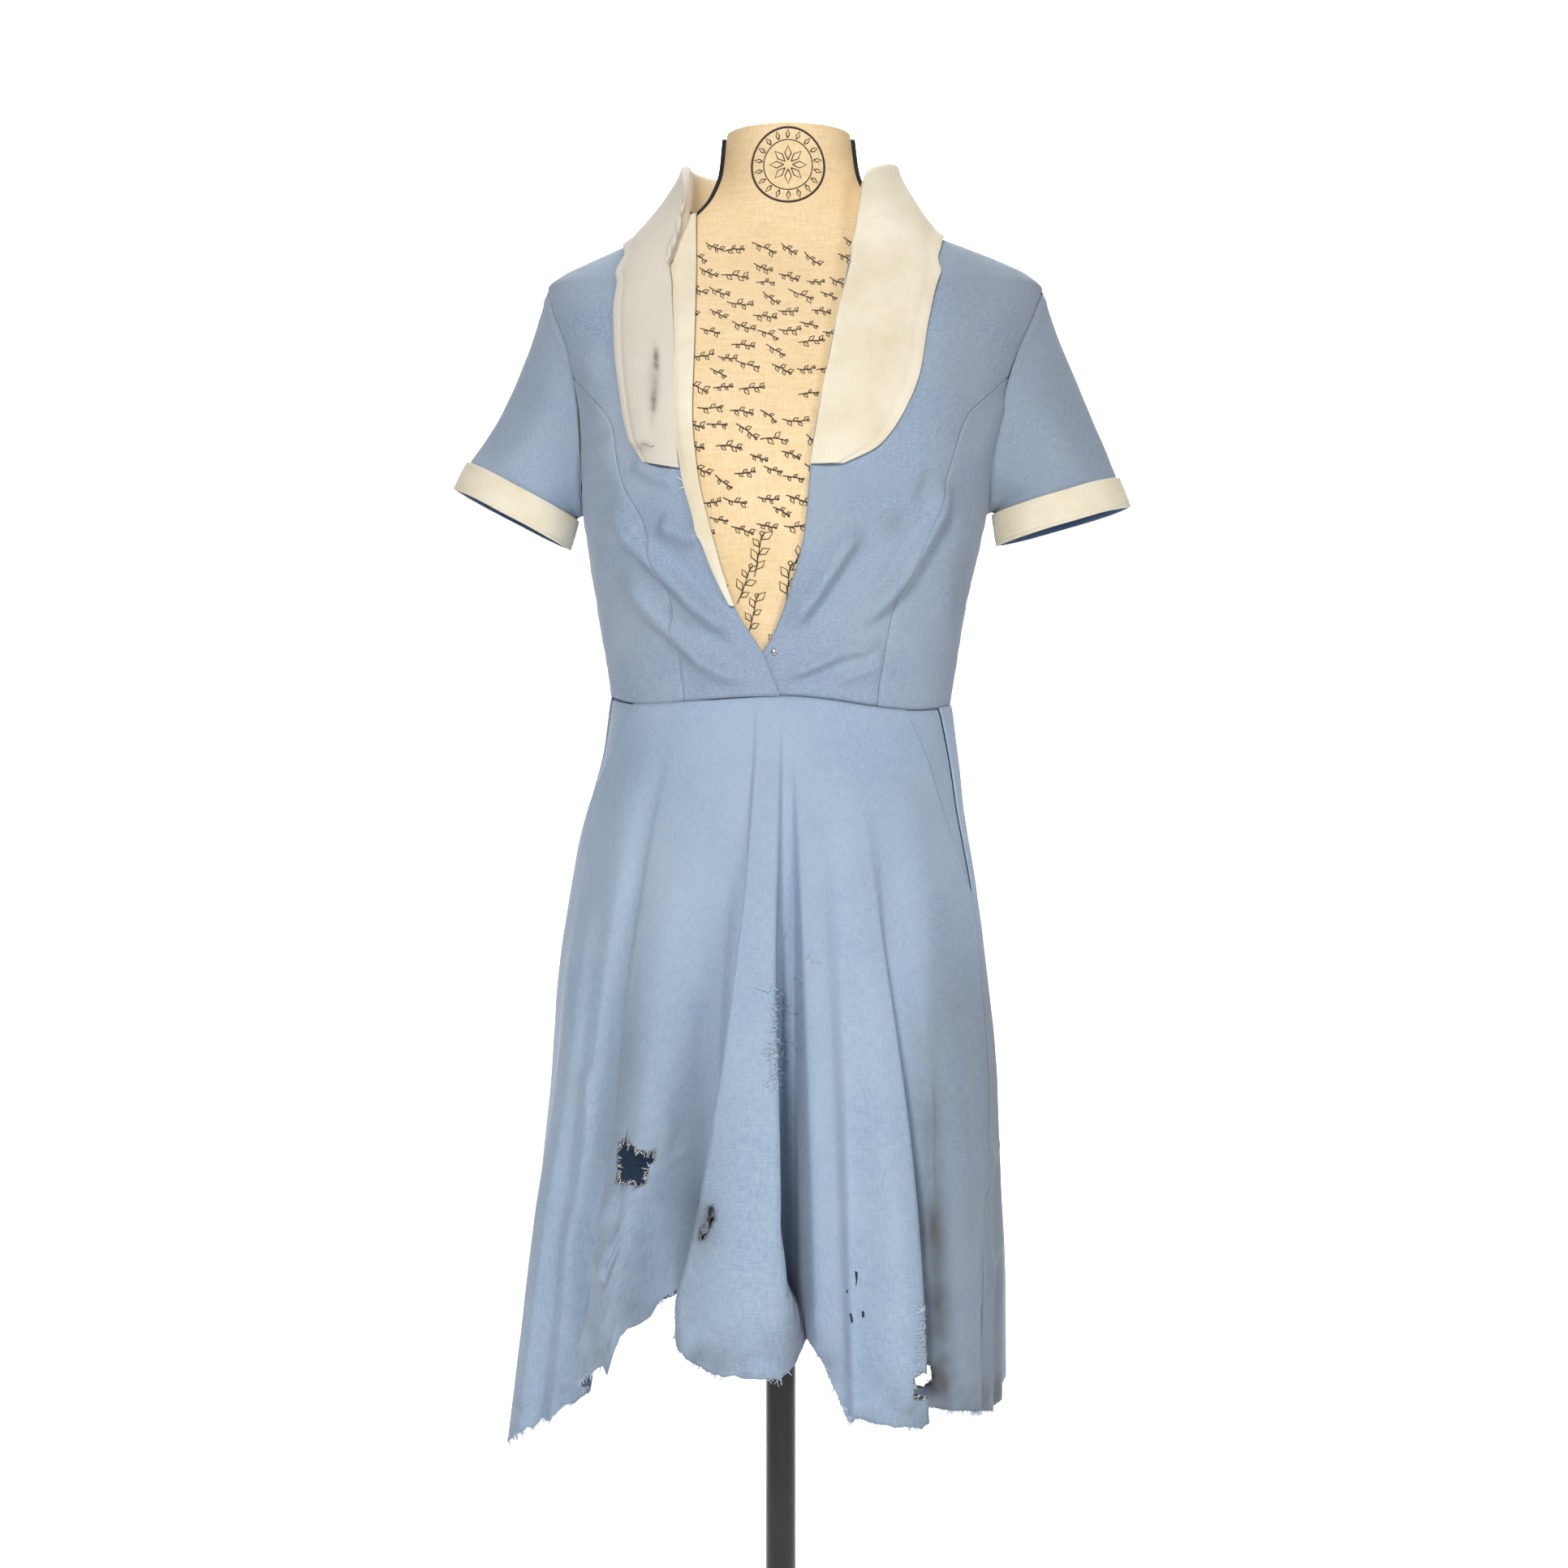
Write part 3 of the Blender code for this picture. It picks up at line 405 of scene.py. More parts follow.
def printedLinen():
    # woven linen stretched over foam: warm cream with slubs along both ways of the cloth
    material, tree, shader = newMaterial("printed linen cover", 0.85, Specular_IOR_Level=0.25)
    place = objectPlace(tree)
    slubs = added(tree, grainOf(tree, stretched(tree, place, (650, 650, 60)), 1.0),
                  grainOf(tree, stretched(tree, place, (60, 60, 700)), 1.0))
    woven = blended(tree, ranged(tree, slubs, 0.75, 1.25), "#E9CB9B", "#F4DBB2")
    aged = ranged(tree, grainOf(tree, place, 16.0, 4.0), 0.45, 0.75, most=0.5)
    finish(tree, shader, blended(tree, aged, woven, "#E2C48C"), 0.3, 0.0003, slubs)
    return material


def blackEnamel():
    # stove enamel on steel, sprayed: near black, satin, with a fine orange peel
    material, tree, shader = newMaterial("satin black enamel", 0.38, Coat_Weight=0.25)
    place = objectPlace(tree)
    dust = grainOf(tree, place, 25.0, 4.0)
    tree.links.new(ranged(tree, dust, 0.0, 1.0, 0.30, 0.46), shader.inputs["Roughness"])
    finish(tree, shader, blended(tree, dust, "#131314", "#232325"), 0.08, 0.0003,
           grainOf(tree, place, 420.0))
    return material


def mottled(name, roughness, light, dark, scale, detail=2.0, **sockets):
    material, tree, shader = newMaterial(name, roughness, **sockets)
    grain = grainOf(tree, objectPlace(tree), scale, detail)
    tree.links.new(blended(tree, grain, light, dark), shader.inputs["Base Color"])
    return material


def spunThread(name, light, dark, scale):
    # spun cotton thread: matt, lighter and darker along its length
    return mottled(name, 0.9, light, dark, scale, Sheen_Weight=0.1)


materials = {
    "bodiceTwill": twill("washed blue twill", "#8699B2", "#9FAEC0", "#A5AFBA", "#74716A"),
    # the skirt's grime colour also serves as painted shade in the skirt's folds
    "skirtTwill": twill("faded blue twill", "#92A7C1", "#A9BBCF", "#B0C0CF", "#5E6063"),
    # the cloth's reverse, inside the dress, is painted far darker than its face: painted shade for
    # the inside, seen through the holes
    "shadedReverseTwill": twill("reverse of the blue twill, darkened for shade", "#44597A", "#566E90", "#5F748F", "#4C4A46"),
    # the last colour is painted shade on the collar's right leaf
    "cotton": agedCotton("aged cream cotton", "#EDE5D0", "#DFD2B4", "#CFC8BE"),
    "linen": printedLinen(),
    "enamel": blackEnamel(),
    "blueThread": spunThread("frayed blue thread", "#DFE8F1", "#A9BBD2", 300.0),
    "seamThread": spunThread("blue sewing thread", "#A9BCD3", "#8FA6C4", 300.0),
    "creamThread": spunThread("cream sewing thread", "#FBF6E6", "#E6DCC2", 300.0),
    # nickelled steel, stamped and tumbled: grey, bright, with faint scuffs
    "steel": mottled("stamped nickelled steel", 0.32, "#A9A7A2", "#C9C6BF", 900.0, 3.0,
                     Metallic=1.0),
    # braided cotton cord, dyed black
    "cord": spunThread("black braided cord", "#17171A", "#2A2A2E", 900.0),
    # printing ink, soaked into the weave
    "ink": spunThread("brown-black printing ink", "#3A2E26", "#55463A", 120.0),
    # weave charred by a burn
    "charred": spunThread("charred weave", "#20242C", "#33363D", 900.0),
}


# The body under the dress. Each row is a height, the half width, the front and back depths,
# how square the section is, its shift across and the air between the cloth and the form.
body = table(
    "height side front back power shift air",
    (0.770, 0.1480, 0.107, 0.111, 0.95, 0.000, 0.0030),
    (0.850, 0.1520, 0.111, 0.115, 0.95, 0.000, 0.0030),
    (0.920, 0.1460, 0.108, 0.104, 0.95, 0.000, 0.0045),
    (0.965, 0.1425, 0.104, 0.097, 0.95, 0.000, 0.0045),
    (1.000, 0.1425, 0.104, 0.094, 0.95, 0.000, 0.0045),
    (1.040, 0.1475, 0.113, 0.096, 0.93, 0.001, 0.0035),
    (1.090, 0.1555, 0.126, 0.100, 0.90, 0.002, 0.0025),
    (1.140, 0.1655, 0.138, 0.106, 0.88, 0.003, 0.0025),
    (1.190, 0.1750, 0.143, 0.112, 0.85, 0.004, 0.0020),
    (1.240, 0.1850, 0.135, 0.116, 0.80, 0.007, 0.0018),
    (1.290, 0.1960, 0.115, 0.114, 0.76, 0.010, 0.0018),
    (1.325, 0.2050, 0.092, 0.106, 0.76, 0.011, 0.0018),
    (1.345, 0.2070, 0.079, 0.098, 0.78, 0.012, 0.0024),
    (1.355, 0.1970, 0.073, 0.094, 0.80, 0.012, 0.0018),
    (1.3655, 0.1770, 0.068, 0.090, 0.82, 0.012, 0.0018),
    (1.376, 0.1520, 0.065, 0.086, 0.85, 0.011, 0.0018),
    (1.387, 0.1240, 0.062, 0.081, 0.88, 0.010, 0.0018),
    (1.398, 0.0990, 0.060, 0.076, 0.90, 0.009, 0.0018),
    (1.409, 0.0800, 0.058, 0.070, 0.92, 0.008, 0.0012),
    (1.425, 0.0660, 0.056, 0.062, 0.95, 0.0075, 0.0012),
    (1.445, 0.0580, 0.054, 0.056, 1.00, 0.007, 0.0012),
    (1.475, 0.0545, 0.052, 0.053, 1.00, 0.0065, 0.0012),
)
cloth = {
    "wall": 0.0013, "solidWall": 0.0016, "trimWall": 0.0020, "seam": 0.0003, "lap": 0.0030,
    "trimLift": 0.0012, "waist": 1.000, "underarm": 1.160, "shoulderTip": 1.345,
    "armholeFront": 24.0, "armholeBack": 26.0, "princessTop": 1.262,
}


def bodySurface(angle, height):
    turn = math.radians(angle)
    power = body("power", height)
    sine, cosine = math.sin(turn), math.cos(turn)
    depth = body("front" if cosine > 0 else "back", height)
    across = body("side", height) * math.copysign(abs(sine) ** power, sine)
    return Vector((body("shift", height) + across,
                   -depth * math.copysign(abs(cosine) ** power, cosine), height))


def bodyNormal(angle, height):
    along = bodySurface(angle + 0.5, height) - bodySurface(angle - 0.5, height)
    up = bodySurface(angle, height + 0.001) - bodySurface(angle, height - 0.001)
    return along.cross(up).normalized()


def bodyPoint(angle, height, out=0.0):
    return bodySurface(angle, height) + bodyNormal(angle, height) * out


def frontAngle(across, height):
    share = (across - body("shift", height)) / body("side", height)
    share = min(max(share, -1.0), 1.0)
    share = math.copysign(abs(share) ** (1 / body("power", height)), share)
    return math.degrees(math.asin(share))


# Bodice
bodice = {
    "rows": (1.000, 1.025, 1.050, 1.075, 1.100, 1.120, 1.140, 1.160, 1.1635, 1.170, 1.180, 1.200,
             1.225, 1.250, 1.262, 1.280, 1.305, 1.325, 1.335, 1.3415, 1.345, 1.350, 1.357, 1.366,
             1.377, 1.389, 1.400, 1.408),
    "frontColumns": 66, "sideColumns": 34, "backColumns": 84, "rowsEach": 6,
    "creaseHeight": 2.5, "trough": 0.0018,
    "seamRoll": 0.0006, "seamPucker": 0.0007,
}
rightFrontEdge = table(
    "height across",
    (1.000, 0.000), (1.040, -0.016), (1.075, -0.037), (1.122, -0.052), (1.182, -0.066),
    (1.230, -0.070), (1.299, -0.069), (1.385, -0.0695), (1.409, -0.070),
)
leftFrontEdge = table(
    "height across",
    (1.000, -0.053), (1.040, -0.012), (1.090, 0.008), (1.134, 0.019), (1.191, 0.024),
    (1.250, 0.034), (1.336, 0.051), (1.398, 0.066), (1.409, 0.077),
)
princessSeam = table(
    "height across",
    (1.000, 0.078), (1.070, 0.088), (1.123, 0.105), (1.178, 0.129), (1.226, 0.143),
    (1.252, 0.166), (1.266, 0.180),
)
waistSeam = table(
    "angle height",
    (-180, 1.000), (-90, 1.006), (-48, 0.998), (0, 1.003), (45, 0.993), (90, 0.999),
    (180, 1.000),
)
# creases that the lap pulls across the front
frontCreases = {
    "rightUpper": (0.012, 0.0054, 0.5, (-0.142, 1.158), (-0.112, 1.126), (-0.067, 1.080),
        (-0.028, 1.048)),
    "rightUpperTrough": (0.006, -0.0016, 1.0, (-0.132, 1.133), (-0.100, 1.098), (-0.062, 1.060),
        (-0.030, 1.034)),
    "rightLower": (0.010, 0.0048, 0.5, (-0.128, 1.108), (-0.098, 1.070), (-0.062, 1.034),
        (-0.014, 1.011)),
    "rightLowerTrough": (0.006, -0.0012, 1.0, (-0.110, 1.062), (-0.080, 1.036),
        (-0.050, 1.016)),
    "rightEdge": (0.008, 0.0032, 1.0, (-0.098, 1.141), (-0.075, 1.130), (-0.058, 1.131)),
    "rightCollarPull": (0.006, 0.0018, 1.0, (-0.118, 1.190), (-0.098, 1.176), (-0.078, 1.172)),
    "rightBustSoft": (0.010, 0.0018, 1.6, (-0.150, 1.215), (-0.132, 1.180), (-0.118, 1.146)),
    "leftUpper": (0.012, 0.0052, 0.55, (0.136, 1.180), (0.122, 1.148), (0.096, 1.100),
        (0.058, 1.053)),
    "leftUpperTrough": (0.005, -0.0016, 1.0, (0.127, 1.176), (0.109, 1.140), (0.084, 1.098),
        (0.056, 1.066)),
    "leftEdge": (0.011, 0.0044, 0.6, (0.066, 1.139), (0.049, 1.118), (0.030, 1.088),
        (0.004, 1.052)),
    "leftEdgeTrough": (0.006, -0.0014, 1.0, (0.080, 1.130), (0.060, 1.104), (0.040, 1.076),
        (0.018, 1.052)),
    "leftLower": (0.007, 0.0030, 0.7, (0.084, 1.046), (0.046, 1.038), (0.022, 1.026),
        (-0.004, 1.017)),
    "leftLowest": (0.006, 0.0020, 1.0, (0.086, 1.034), (0.066, 1.024), (0.042, 1.016)),
    "leftArm": (0.010, 0.0016, 1.0, (0.186, 1.250), (0.170, 1.225), (0.158, 1.190)),
    "leftSideLong": (0.010, 0.0014, 1.0, (0.150, 1.160), (0.138, 1.110), (0.128, 1.050)),
    "rightSideLong": (0.010, 0.0016, 1.0, (-0.150, 1.130), (-0.142, 1.080), (-0.132, 1.030)),
    "rightChest": (0.013, 0.0016, 1.0, (-0.160, 1.290), (-0.148, 1.250), (-0.140, 1.210)),
}
backCreases = {
    "betweenBlades": (0.014, 0.0018, 0.7, (-0.060, 1.330), (0.000, 1.318), (0.070, 1.332)),
    "rightBlade": (0.014, 0.0030, 0.6, (-0.150, 1.230), (-0.100, 1.190), (-0.060, 1.130)),
    "leftBlade": (0.014, 0.0030, 0.6, (0.160, 1.240), (0.112, 1.196), (0.070, 1.138)),
    "rightWaistPull": (0.010, 0.0026, 0.7, (-0.120, 1.060), (-0.070, 1.040), (-0.020, 1.044)),
    "leftWaistPull": (0.010, 0.0028, 0.7, (0.120, 1.070), (0.072, 1.046), (0.022, 1.030)),
    "middleWaist": (0.007, 0.0016, 1.0, (-0.040, 1.020), (0.000, 1.026), (0.044, 1.018)),
    "rightDartLine": (0.0035, -0.0009, 1.0, (-0.062, 1.130), (-0.060, 1.070), (-0.056, 1.004)),
    "leftDartLine": (0.0035, -0.0009, 1.0, (0.062, 1.130), (0.060, 1.070), (0.056, 1.004)),
}


def armholeSpread(height, widest):
    middle = (cloth["underarm"] + cloth["shoulderTip"]) / 2
    share = (height - middle) / ((cloth["shoulderTip"] - cloth["underarm"]) / 2)
    return widest * math.sqrt(max(1 - share * share, 0.0))


def princessAngle(side, height):
    across = princessSeam("across", height)
    return side * frontAngle(across + body("shift", height), height)


def bodicePoint(angle, height, out=0.0):
    seam = waistSeam("height", roundAngle(angle)) + cloth["seam"] / 2
    height += (seam - cloth["waist"]) * ease(1.06, cloth["waist"], height)
    base = bodySurface(angle, height)
    creases = frontCreases if math.cos(math.radians(angle)) > 0 else backCreases
    fade = ease(cloth["waist"], 1.02, height) * ease(1.408, 1.36, height)
    rise = bodice["creaseHeight"] * creaseRise(creases, base.x, base.z)
    if rise < 0:
        rise = -bodice["trough"] * (1 - math.exp(rise / bodice["trough"]))
    out += rise * fade
    out += (0.0014 * ripple(base, 0.065, 3) + 0.0003 * ripple(base, 0.030, 8)) * fade
    return base + bodyNormal(angle, height) * out


def seamRoll(share, edges, height, span=0.09):
    # the cloth turns in to a seam, and puckers a little beside it
    out = 0.0
    for edge in edges:
        away = abs(share - edge)
        out -= bodice["seamRoll"] * bump(0.0, span * 0.22, away)
        out += bodice["seamPucker"] * bump(span * 0.7, span * 0.6, away) * ripple(
            (height, edge, 0.0), 0.011, 5)
    return out


def frontPanel(side, edge):
    def place(u, v):
        height = rowHeight(bodice["rows"], v)
        inner = frontAngle(edge("across", height), height)
        if height <= cloth["princessTop"]:
            outer = princessAngle(side, height)
        elif height <= cloth["shoulderTip"]:
            outer = side * (90 - armholeSpread(height, cloth["armholeFront"]))
        else:
            outer = side * 90
        across = u if side > 0 else 1 - u
        raised = seamRoll(across, (1.0,), height)
        raised -= 0.0008 * bump(0.0, 0.012, across)
        if side < 0:
            raised += cloth["lap"] * ease(0.95, 0.62, across) * ease(1.100, 1.055, height)
        raised -= 0.0007 * bump(cloth["waist"], 0.003, height)
        return bodicePoint(inner + (outer - inner) * across, height, raised)
    return place


def sidePanel(side):
    rows = [height for height in bodice["rows"] if height <= cloth["princessTop"]]

    def place(u, v):
        height = rowHeight(rows, v)
        inner = princessAngle(side, height)
        outer = side * (90 - armholeSpread(height, cloth["armholeFront"]))
        across = u if side > 0 else 1 - u
        raised = seamRoll(across, (0.0, 1.0), height, 0.12)
        raised -= 0.0007 * bump(cloth["waist"], 0.003, height)
        return bodicePoint(inner + (outer - inner) * across, height, raised)
    return place, (len(rows) - 1) * bodice["rowsEach"]


def backPanel(u, v):
    height = rowHeight(bodice["rows"], v)
    right = 90 + armholeSpread(height, cloth["armholeBack"])
    raised = seamRoll(u, (0.0, 1.0), height, 0.05)
    raised -= 0.0010 * bump(0.5, 0.004, u)
    raised -= 0.0007 * bump(cloth["waist"], 0.003, height)
    return bodicePoint(right + (360 - 2 * right) * u, height, raised)


pieces = {}
blue, cream = ("bodiceTwill", "shadedReverseTwill"), ("cotton", "cotton")
rowCount = (len(bodice["rows"]) - 1) * bodice["rowsEach"]
for label, side, edge in (("right", -1, rightFrontEdge), ("left", 1, leftFrontEdge)):
    pieces["bodice_front_" + label] = clothGrid(
        "front_" + label, bodice["frontColumns"], rowCount, frontPanel(side, edge),
        cloth["wall"], (0.19, 0.42), blue)
    place, sideRows = sidePanel(side)
    pieces["bodice_side_" + label] = clothGrid(
        "side_" + label, bodice["sideColumns"], sideRows, place, cloth["wall"], (0.13, 0.27),
        blue)
pieces["bodice_back"] = clothGrid("back", bodice["backColumns"], rowCount, backPanel,
                                  cloth["wall"], (0.44, 0.43), blue)
print("bodice ready")


# Facing along the right front edge, turned out as a narrow cream strip
facing = {"rows": [h for h in bodice["rows"] if 1.075 <= h <= 1.400], "columns": 14,
          "tuck": 0.0019, "over": 0.0010}
facingWidth = table(
    "height width",
    (1.075, 0.004), (1.110, 0.009), (1.180, 0.0135), (1.260, 0.0185), (1.335, 0.0220),
    (1.366, 0.0230), (1.385, 0.0190), (1.400, 0.0120),
)


def facingPoint(u, v):
    height = rowHeight(facing["rows"], v)
    inner = rightFrontEdge("across", height) + facing["over"]
    outer = inner - facingWidth("width", height)
    angle = frontAngle(outer + (inner - outer) * u, height)
    lift = cloth["lap"] * ease(1.100, 1.055, height) * ease(0.95, 0.62, 0.0)
    lift += cloth["trimWall"] + cloth["trimLift"] + 0.0006 * math.sin(math.pi * u)
    lift -= facing["tuck"] * ease(0.45, 0.0, u) * ease(1.170, 1.190, height)
    lift += 0.0004 * ripple((u * 0.02, height, 0.0), 0.020, 4)
    return bodicePoint(angle, height, lift)


pieces["front_facing_right"] = clothGrid(
    "facing", facing["columns"], (len(facing["rows"]) - 1) * 7, facingPoint,
    cloth["trimWall"] * 0.8, (0.011, 0.30), cream, rim=0.0005)


# Collar: stations from the right leaf's end, up round the back of the neck to the left leaf's end
collarLine = table(
    "station neckAngle neckHeight edgeAngle edgeHeight stand",
    (0, -24.9, 1.182, -36.5, 1.1885, 0.000),
    (1, -25.0, 1.197, -40.5, 1.209, 0.000),
    (2, -24.8, 1.222, -41.5, 1.234, 0.000),
    (3, -23.7, 1.255, -41.6, 1.267, 0.000),
    (4, -22.5, 1.290, -40.4, 1.305, 0.001),
    (5, -22.2, 1.325, -38.6, 1.336, 0.004),
    (6, -26.4, 1.360, -44.3, 1.3605, 0.011),
    (7, -47.0, 1.393, -67.3, 1.377, 0.028),
    (8, -90, 1.4088, -90, 1.3845, 0.039),
    (9, -125, 1.4088, -121, 1.365, 0.041),
    (10, -152, 1.4088, -151, 1.347, 0.041),
    (11, -180, 1.4088, -180, 1.338, 0.041),
    (12, -208, 1.4088, -209, 1.347, 0.041),
    (13, -235, 1.4088, -239, 1.365, 0.041),
    (14, -270, 1.4088, -270, 1.3878, 0.039),
    (15, -318, 1.403, -308.5, 1.3770, 0.032),
    (16, -338.5, 1.386, -329.0, 1.3550, 0.020),
    (17, -351, 1.355, -333.2, 1.325, 0.009),
    (18, -353.8, 1.316, -333.8, 1.291, 0.004),
    (19, -354.8, 1.280, -333.2, 1.257, 0.001),
    (20, -355.2, 1.245, -335, 1.227, 0.000),
    (21, -355.3, 1.211, -339.5, 1.200, 0.000),
    (22, -355.6, 1.184, -348, 1.1845, 0.000),
)
collar = {"columns": 300, "rows": 44, "roll": 0.0045, "crown": 0.0030, "lastStation": 22.0,
          "tearDepth": 0.006, "softness": 0.0011}


@lru_cache(maxsize=None)
def collarSection(station):
    # the collar's section at a station, as a fine run of points from the neck to the edge
    neckAngle, neckHeight = collarLine("neckAngle", station), collarLine("neckHeight", station)
    edgeAngle, edgeHeight = collarLine("edgeAngle", station), collarLine("edgeHeight", station)
    stand = collarLine("stand", station)
    roll = min(collar["roll"], stand / 2)
    lift = cloth["trimWall"] + cloth["trimLift"]
    outward = bodyNormal(neckAngle, neckHeight)
    outward.z = 0
    outward.normalize()
    neck = bodyPoint(neckAngle, neckHeight, lift)
    points = [neck + Vector((0, 0, (stand - roll) * i / 8)) for i in range(9)]
    for i in range(1, 8):
        turn = math.pi * i / 8
        rise = Vector((0, 0, stand - roll + roll * math.sin(turn)))
        points.append(neck + rise + outward * roll * (1 - math.cos(turn)))
    # the torn lower end of the right leaf
    tear = collar["tearDepth"] * bump(0.55, 0.16, station) if station < 2 else 0.0
    for i in range(33):
        share = i / 32
        angle = neckAngle + (edgeAngle - neckAngle) * share
        height = neckHeight + (edgeHeight - neckHeight) * share
        out = lift + collar["crown"] * math.sin(math.pi * share)
        wave = ripple((angle * 0.0025, height, 0.0), 0.035, 2) + 0.5 * ripple(
            (angle * 0.0025, height, 0.0), 0.014, 7)
        out += collar["softness"] * wave * math.sin(math.pi * min(share * 1.3, 1.0))
        out -= 0.0007 * bump(0.86, 0.05, share)          # pressed line beside the edge seam
        fall = Vector((0, 0, (stand - roll) * (1 - share) ** 1.6 + tear * bump(0.62, 0.2, share)))
        points.append(bodyPoint(angle, height, out) + fall + outward * 2 * roll * (1 - share))
    return points


def alongLine(points, share):
    lengths = [0.0]
    for start, end in zip(points, points[1:]):
        lengths.append(lengths[-1] + (end - start).length)
    target = lengths[-1] * share
    i = min(max(bisect.bisect_right(lengths, target) - 1, 0), len(points) - 2)
    step = lengths[i + 1] - lengths[i]
    within = (target - lengths[i]) / step if step > 0 else 0.0
    return points[i].lerp(points[i + 1], min(within, 1.0))


def collarPoint(u, v):
    return alongLine(collarSection(collar["lastStation"] * round(u * collar["columns"])
                                   / collar["columns"]), v)


pieces["collar"] = clothGrid("collar_leaf", collar["columns"], collar["rows"], collarPoint,
                             cloth["trimWall"] * 0.95, (0.98, 0.095), cream, rim=0.0006)
print("collar ready")


# Sleeves and turned-up cuffs: the middles of the cuff's top and bottom edges, its half lengths
# across, the half depth, the tilt of the cuff and the way the sleeve flares, in degrees
sleeves = {
    "right": {"side": -1, "top": (-0.2149, -0.006, 1.1775), "bottom": (-0.2240, -0.008, 1.1537),
              "topHalf": 0.0507, "bottomHalf": 0.0532, "depth": 0.0435, "tilt": 27.5,
              "flare": 40.0},
    "left": {"side": 1, "top": (0.2292, -0.006, 1.1737), "bottom": (0.2358, -0.008, 1.1480),
             "topHalf": 0.0532, "bottomHalf": 0.0565, "depth": 0.0445, "tilt": 16.0, "flare": 21.0},
}
# soft sleeve folds: turn round the arm at the top and at the cuff, width, height, start and end
sleeveFolds = {
    "frontPull": (-40, -28, 16, 0.0022, 0.00, 0.80),
    "frontHollow": (-12, -4, 14, -0.0018, 0.05, 0.90),
    "frontLong": (22, 14, 18, 0.0020, 0.10, 1.00),
    "topHollow": (55, 44, 14, -0.0012, 0.30, 1.00),
    "underPull": (-78, -62, 14, 0.0026, 0.00, 0.70),
    "underBack": (-112, -122, 15, 0.0026, 0.00, 0.75),
    "backHollow": (-150, -148, 16, -0.0020, 0.05, 0.95),
    "backLong": (178, 172, 18, 0.0022, 0.10, 1.00),
    "topBack": (122, 130, 16, 0.0014, 0.20, 1.00),
}
sleeveCut = {"columns": 132, "bands": 60, "hidden": 8, "cuffRows": 20}


def armholePoint(side, turn):
    middle = (cloth["underarm"] + cloth["shoulderTip"]) / 2
    half = (cloth["shoulderTip"] - cloth["underarm"]) / 2
    widest = cloth["armholeFront"] if math.cos(turn) > 0 else cloth["armholeBack"]
    return bodyPoint(side * (90 - widest * math.cos(turn)), middle + half * math.sin(turn))


def cuffOval(sleeve, turn, share, out):
    middle = Vector(sleeve["top"]).lerp(Vector(sleeve["bottom"]), share)
    half = sleeve["topHalf"] + (sleeve["bottomHalf"] - sleeve["topHalf"]) * share + out
    tilt = math.radians(sleeve["tilt"])
    outward = Vector((sleeve["side"] * math.cos(tilt), 0, math.sin(tilt)))
    return (middle + outward * half * math.sin(turn)
            + Vector((0, -(sleeve["depth"] + out) * math.cos(turn), 0)))


def sleevePlace(name):
    sleeve = sleeves[name]
    side = sleeve["side"]
    middle = (armholePoint(side, -math.pi / 2) + armholePoint(side, math.pi / 2)) / 2
    fall = Vector((side * math.sin(math.radians(sleeve["flare"])), 0,
                   -math.cos(math.radians(sleeve["flare"]))))
    visible = sleeveCut["bands"] / (sleeveCut["bands"] + sleeveCut["hidden"])

    def place(u, v):
        turn = -math.pi / 2 + 2 * math.pi * (u if side > 0 else 1 - u)
        down = 1 - v
        if down > visible:
            return cuffOval(sleeve, turn, (down - visible) / (1 - visible), -0.0002)
        t = down / visible
        start = armholePoint(side, turn)
        start += (middle - start).normalized() * cloth["seam"]
        end = cuffOval(sleeve, turn, 0, 0)
        reach = (end - start).length
        leave = Vector((side * 0.25, -0.25 * math.cos(turn), -0.9)) * reach
        point = (start * (2 * t ** 3 - 3 * t * t + 1) + leave * (t ** 3 - 2 * t * t + t)
                 + end * (3 * t * t - 2 * t ** 3) + fall * reach * (t ** 3 - t * t))
        out = 0.0009 * bump(0.05, 0.03, t) - 0.0008 * bump(0.0, 0.02, t)
        degrees = math.degrees(turn)
        for top, low, width, height, begin, stop in sleeveFolds.values():
            away = (degrees - (top + (low - top) * t) + 180) % 360 - 180
            grown = ease(begin - 0.1, begin + 0.3, t) * ease(stop + 0.12, stop - 0.15, t)
            out += height * bump(0.0, width, away) * grown
        out *= ease(0.0, 0.06, t) * ease(1.0, 0.93, t)
        out += 0.0007 * ripple(point, 0.030, 6) * ease(0.0, 0.1, t) * ease(1.0, 0.9, t)
        away = Vector((math.sin(turn) * side * 0.8, -math.cos(turn), 0.35 * math.sin(turn)))
        return point + away.normalized() * out
    return place


def cuffPlace(name):
    sleeve = sleeves[name]

    def place(u, v):
        turn = -math.pi / 2 + 2 * math.pi * (u if sleeve["side"] > 0 else 1 - u)
        out = cloth["seam"] + cloth["trimWall"]
        edge = (turn * 0.05, v * 0.03, 0.0)
        out += 0.0007 * ripple(edge, 0.045, 9) * math.sin(math.pi * v)
        out -= 0.0005 * bump(0.10, 0.03, v)
        point = cuffOval(sleeve, turn, 1.02 - v, out)
        point.z += 0.0007 * ripple((turn * 0.05, 0.0, 0.0), 0.03, 12)
        return point
    return place


for name in sleeves:
    bands = sleeveCut["bands"] + sleeveCut["hidden"]
    pieces["sleeve_" + name] = clothGrid("arm_" + name, sleeveCut["columns"], bands,
                                         sleevePlace(name), cloth["wall"], (0.36, 0.24), blue,
                                         closed=True)
    pieces["cuff_" + name] = clothGrid("turn_up_" + name, sleeveCut["columns"],
                                       sleeveCut["cuffRows"], cuffPlace(name), cloth["trimWall"],
                                       (0.31, 0.030), cream, closed=True, rim=0.0006)
print("sleeves and cuffs ready")


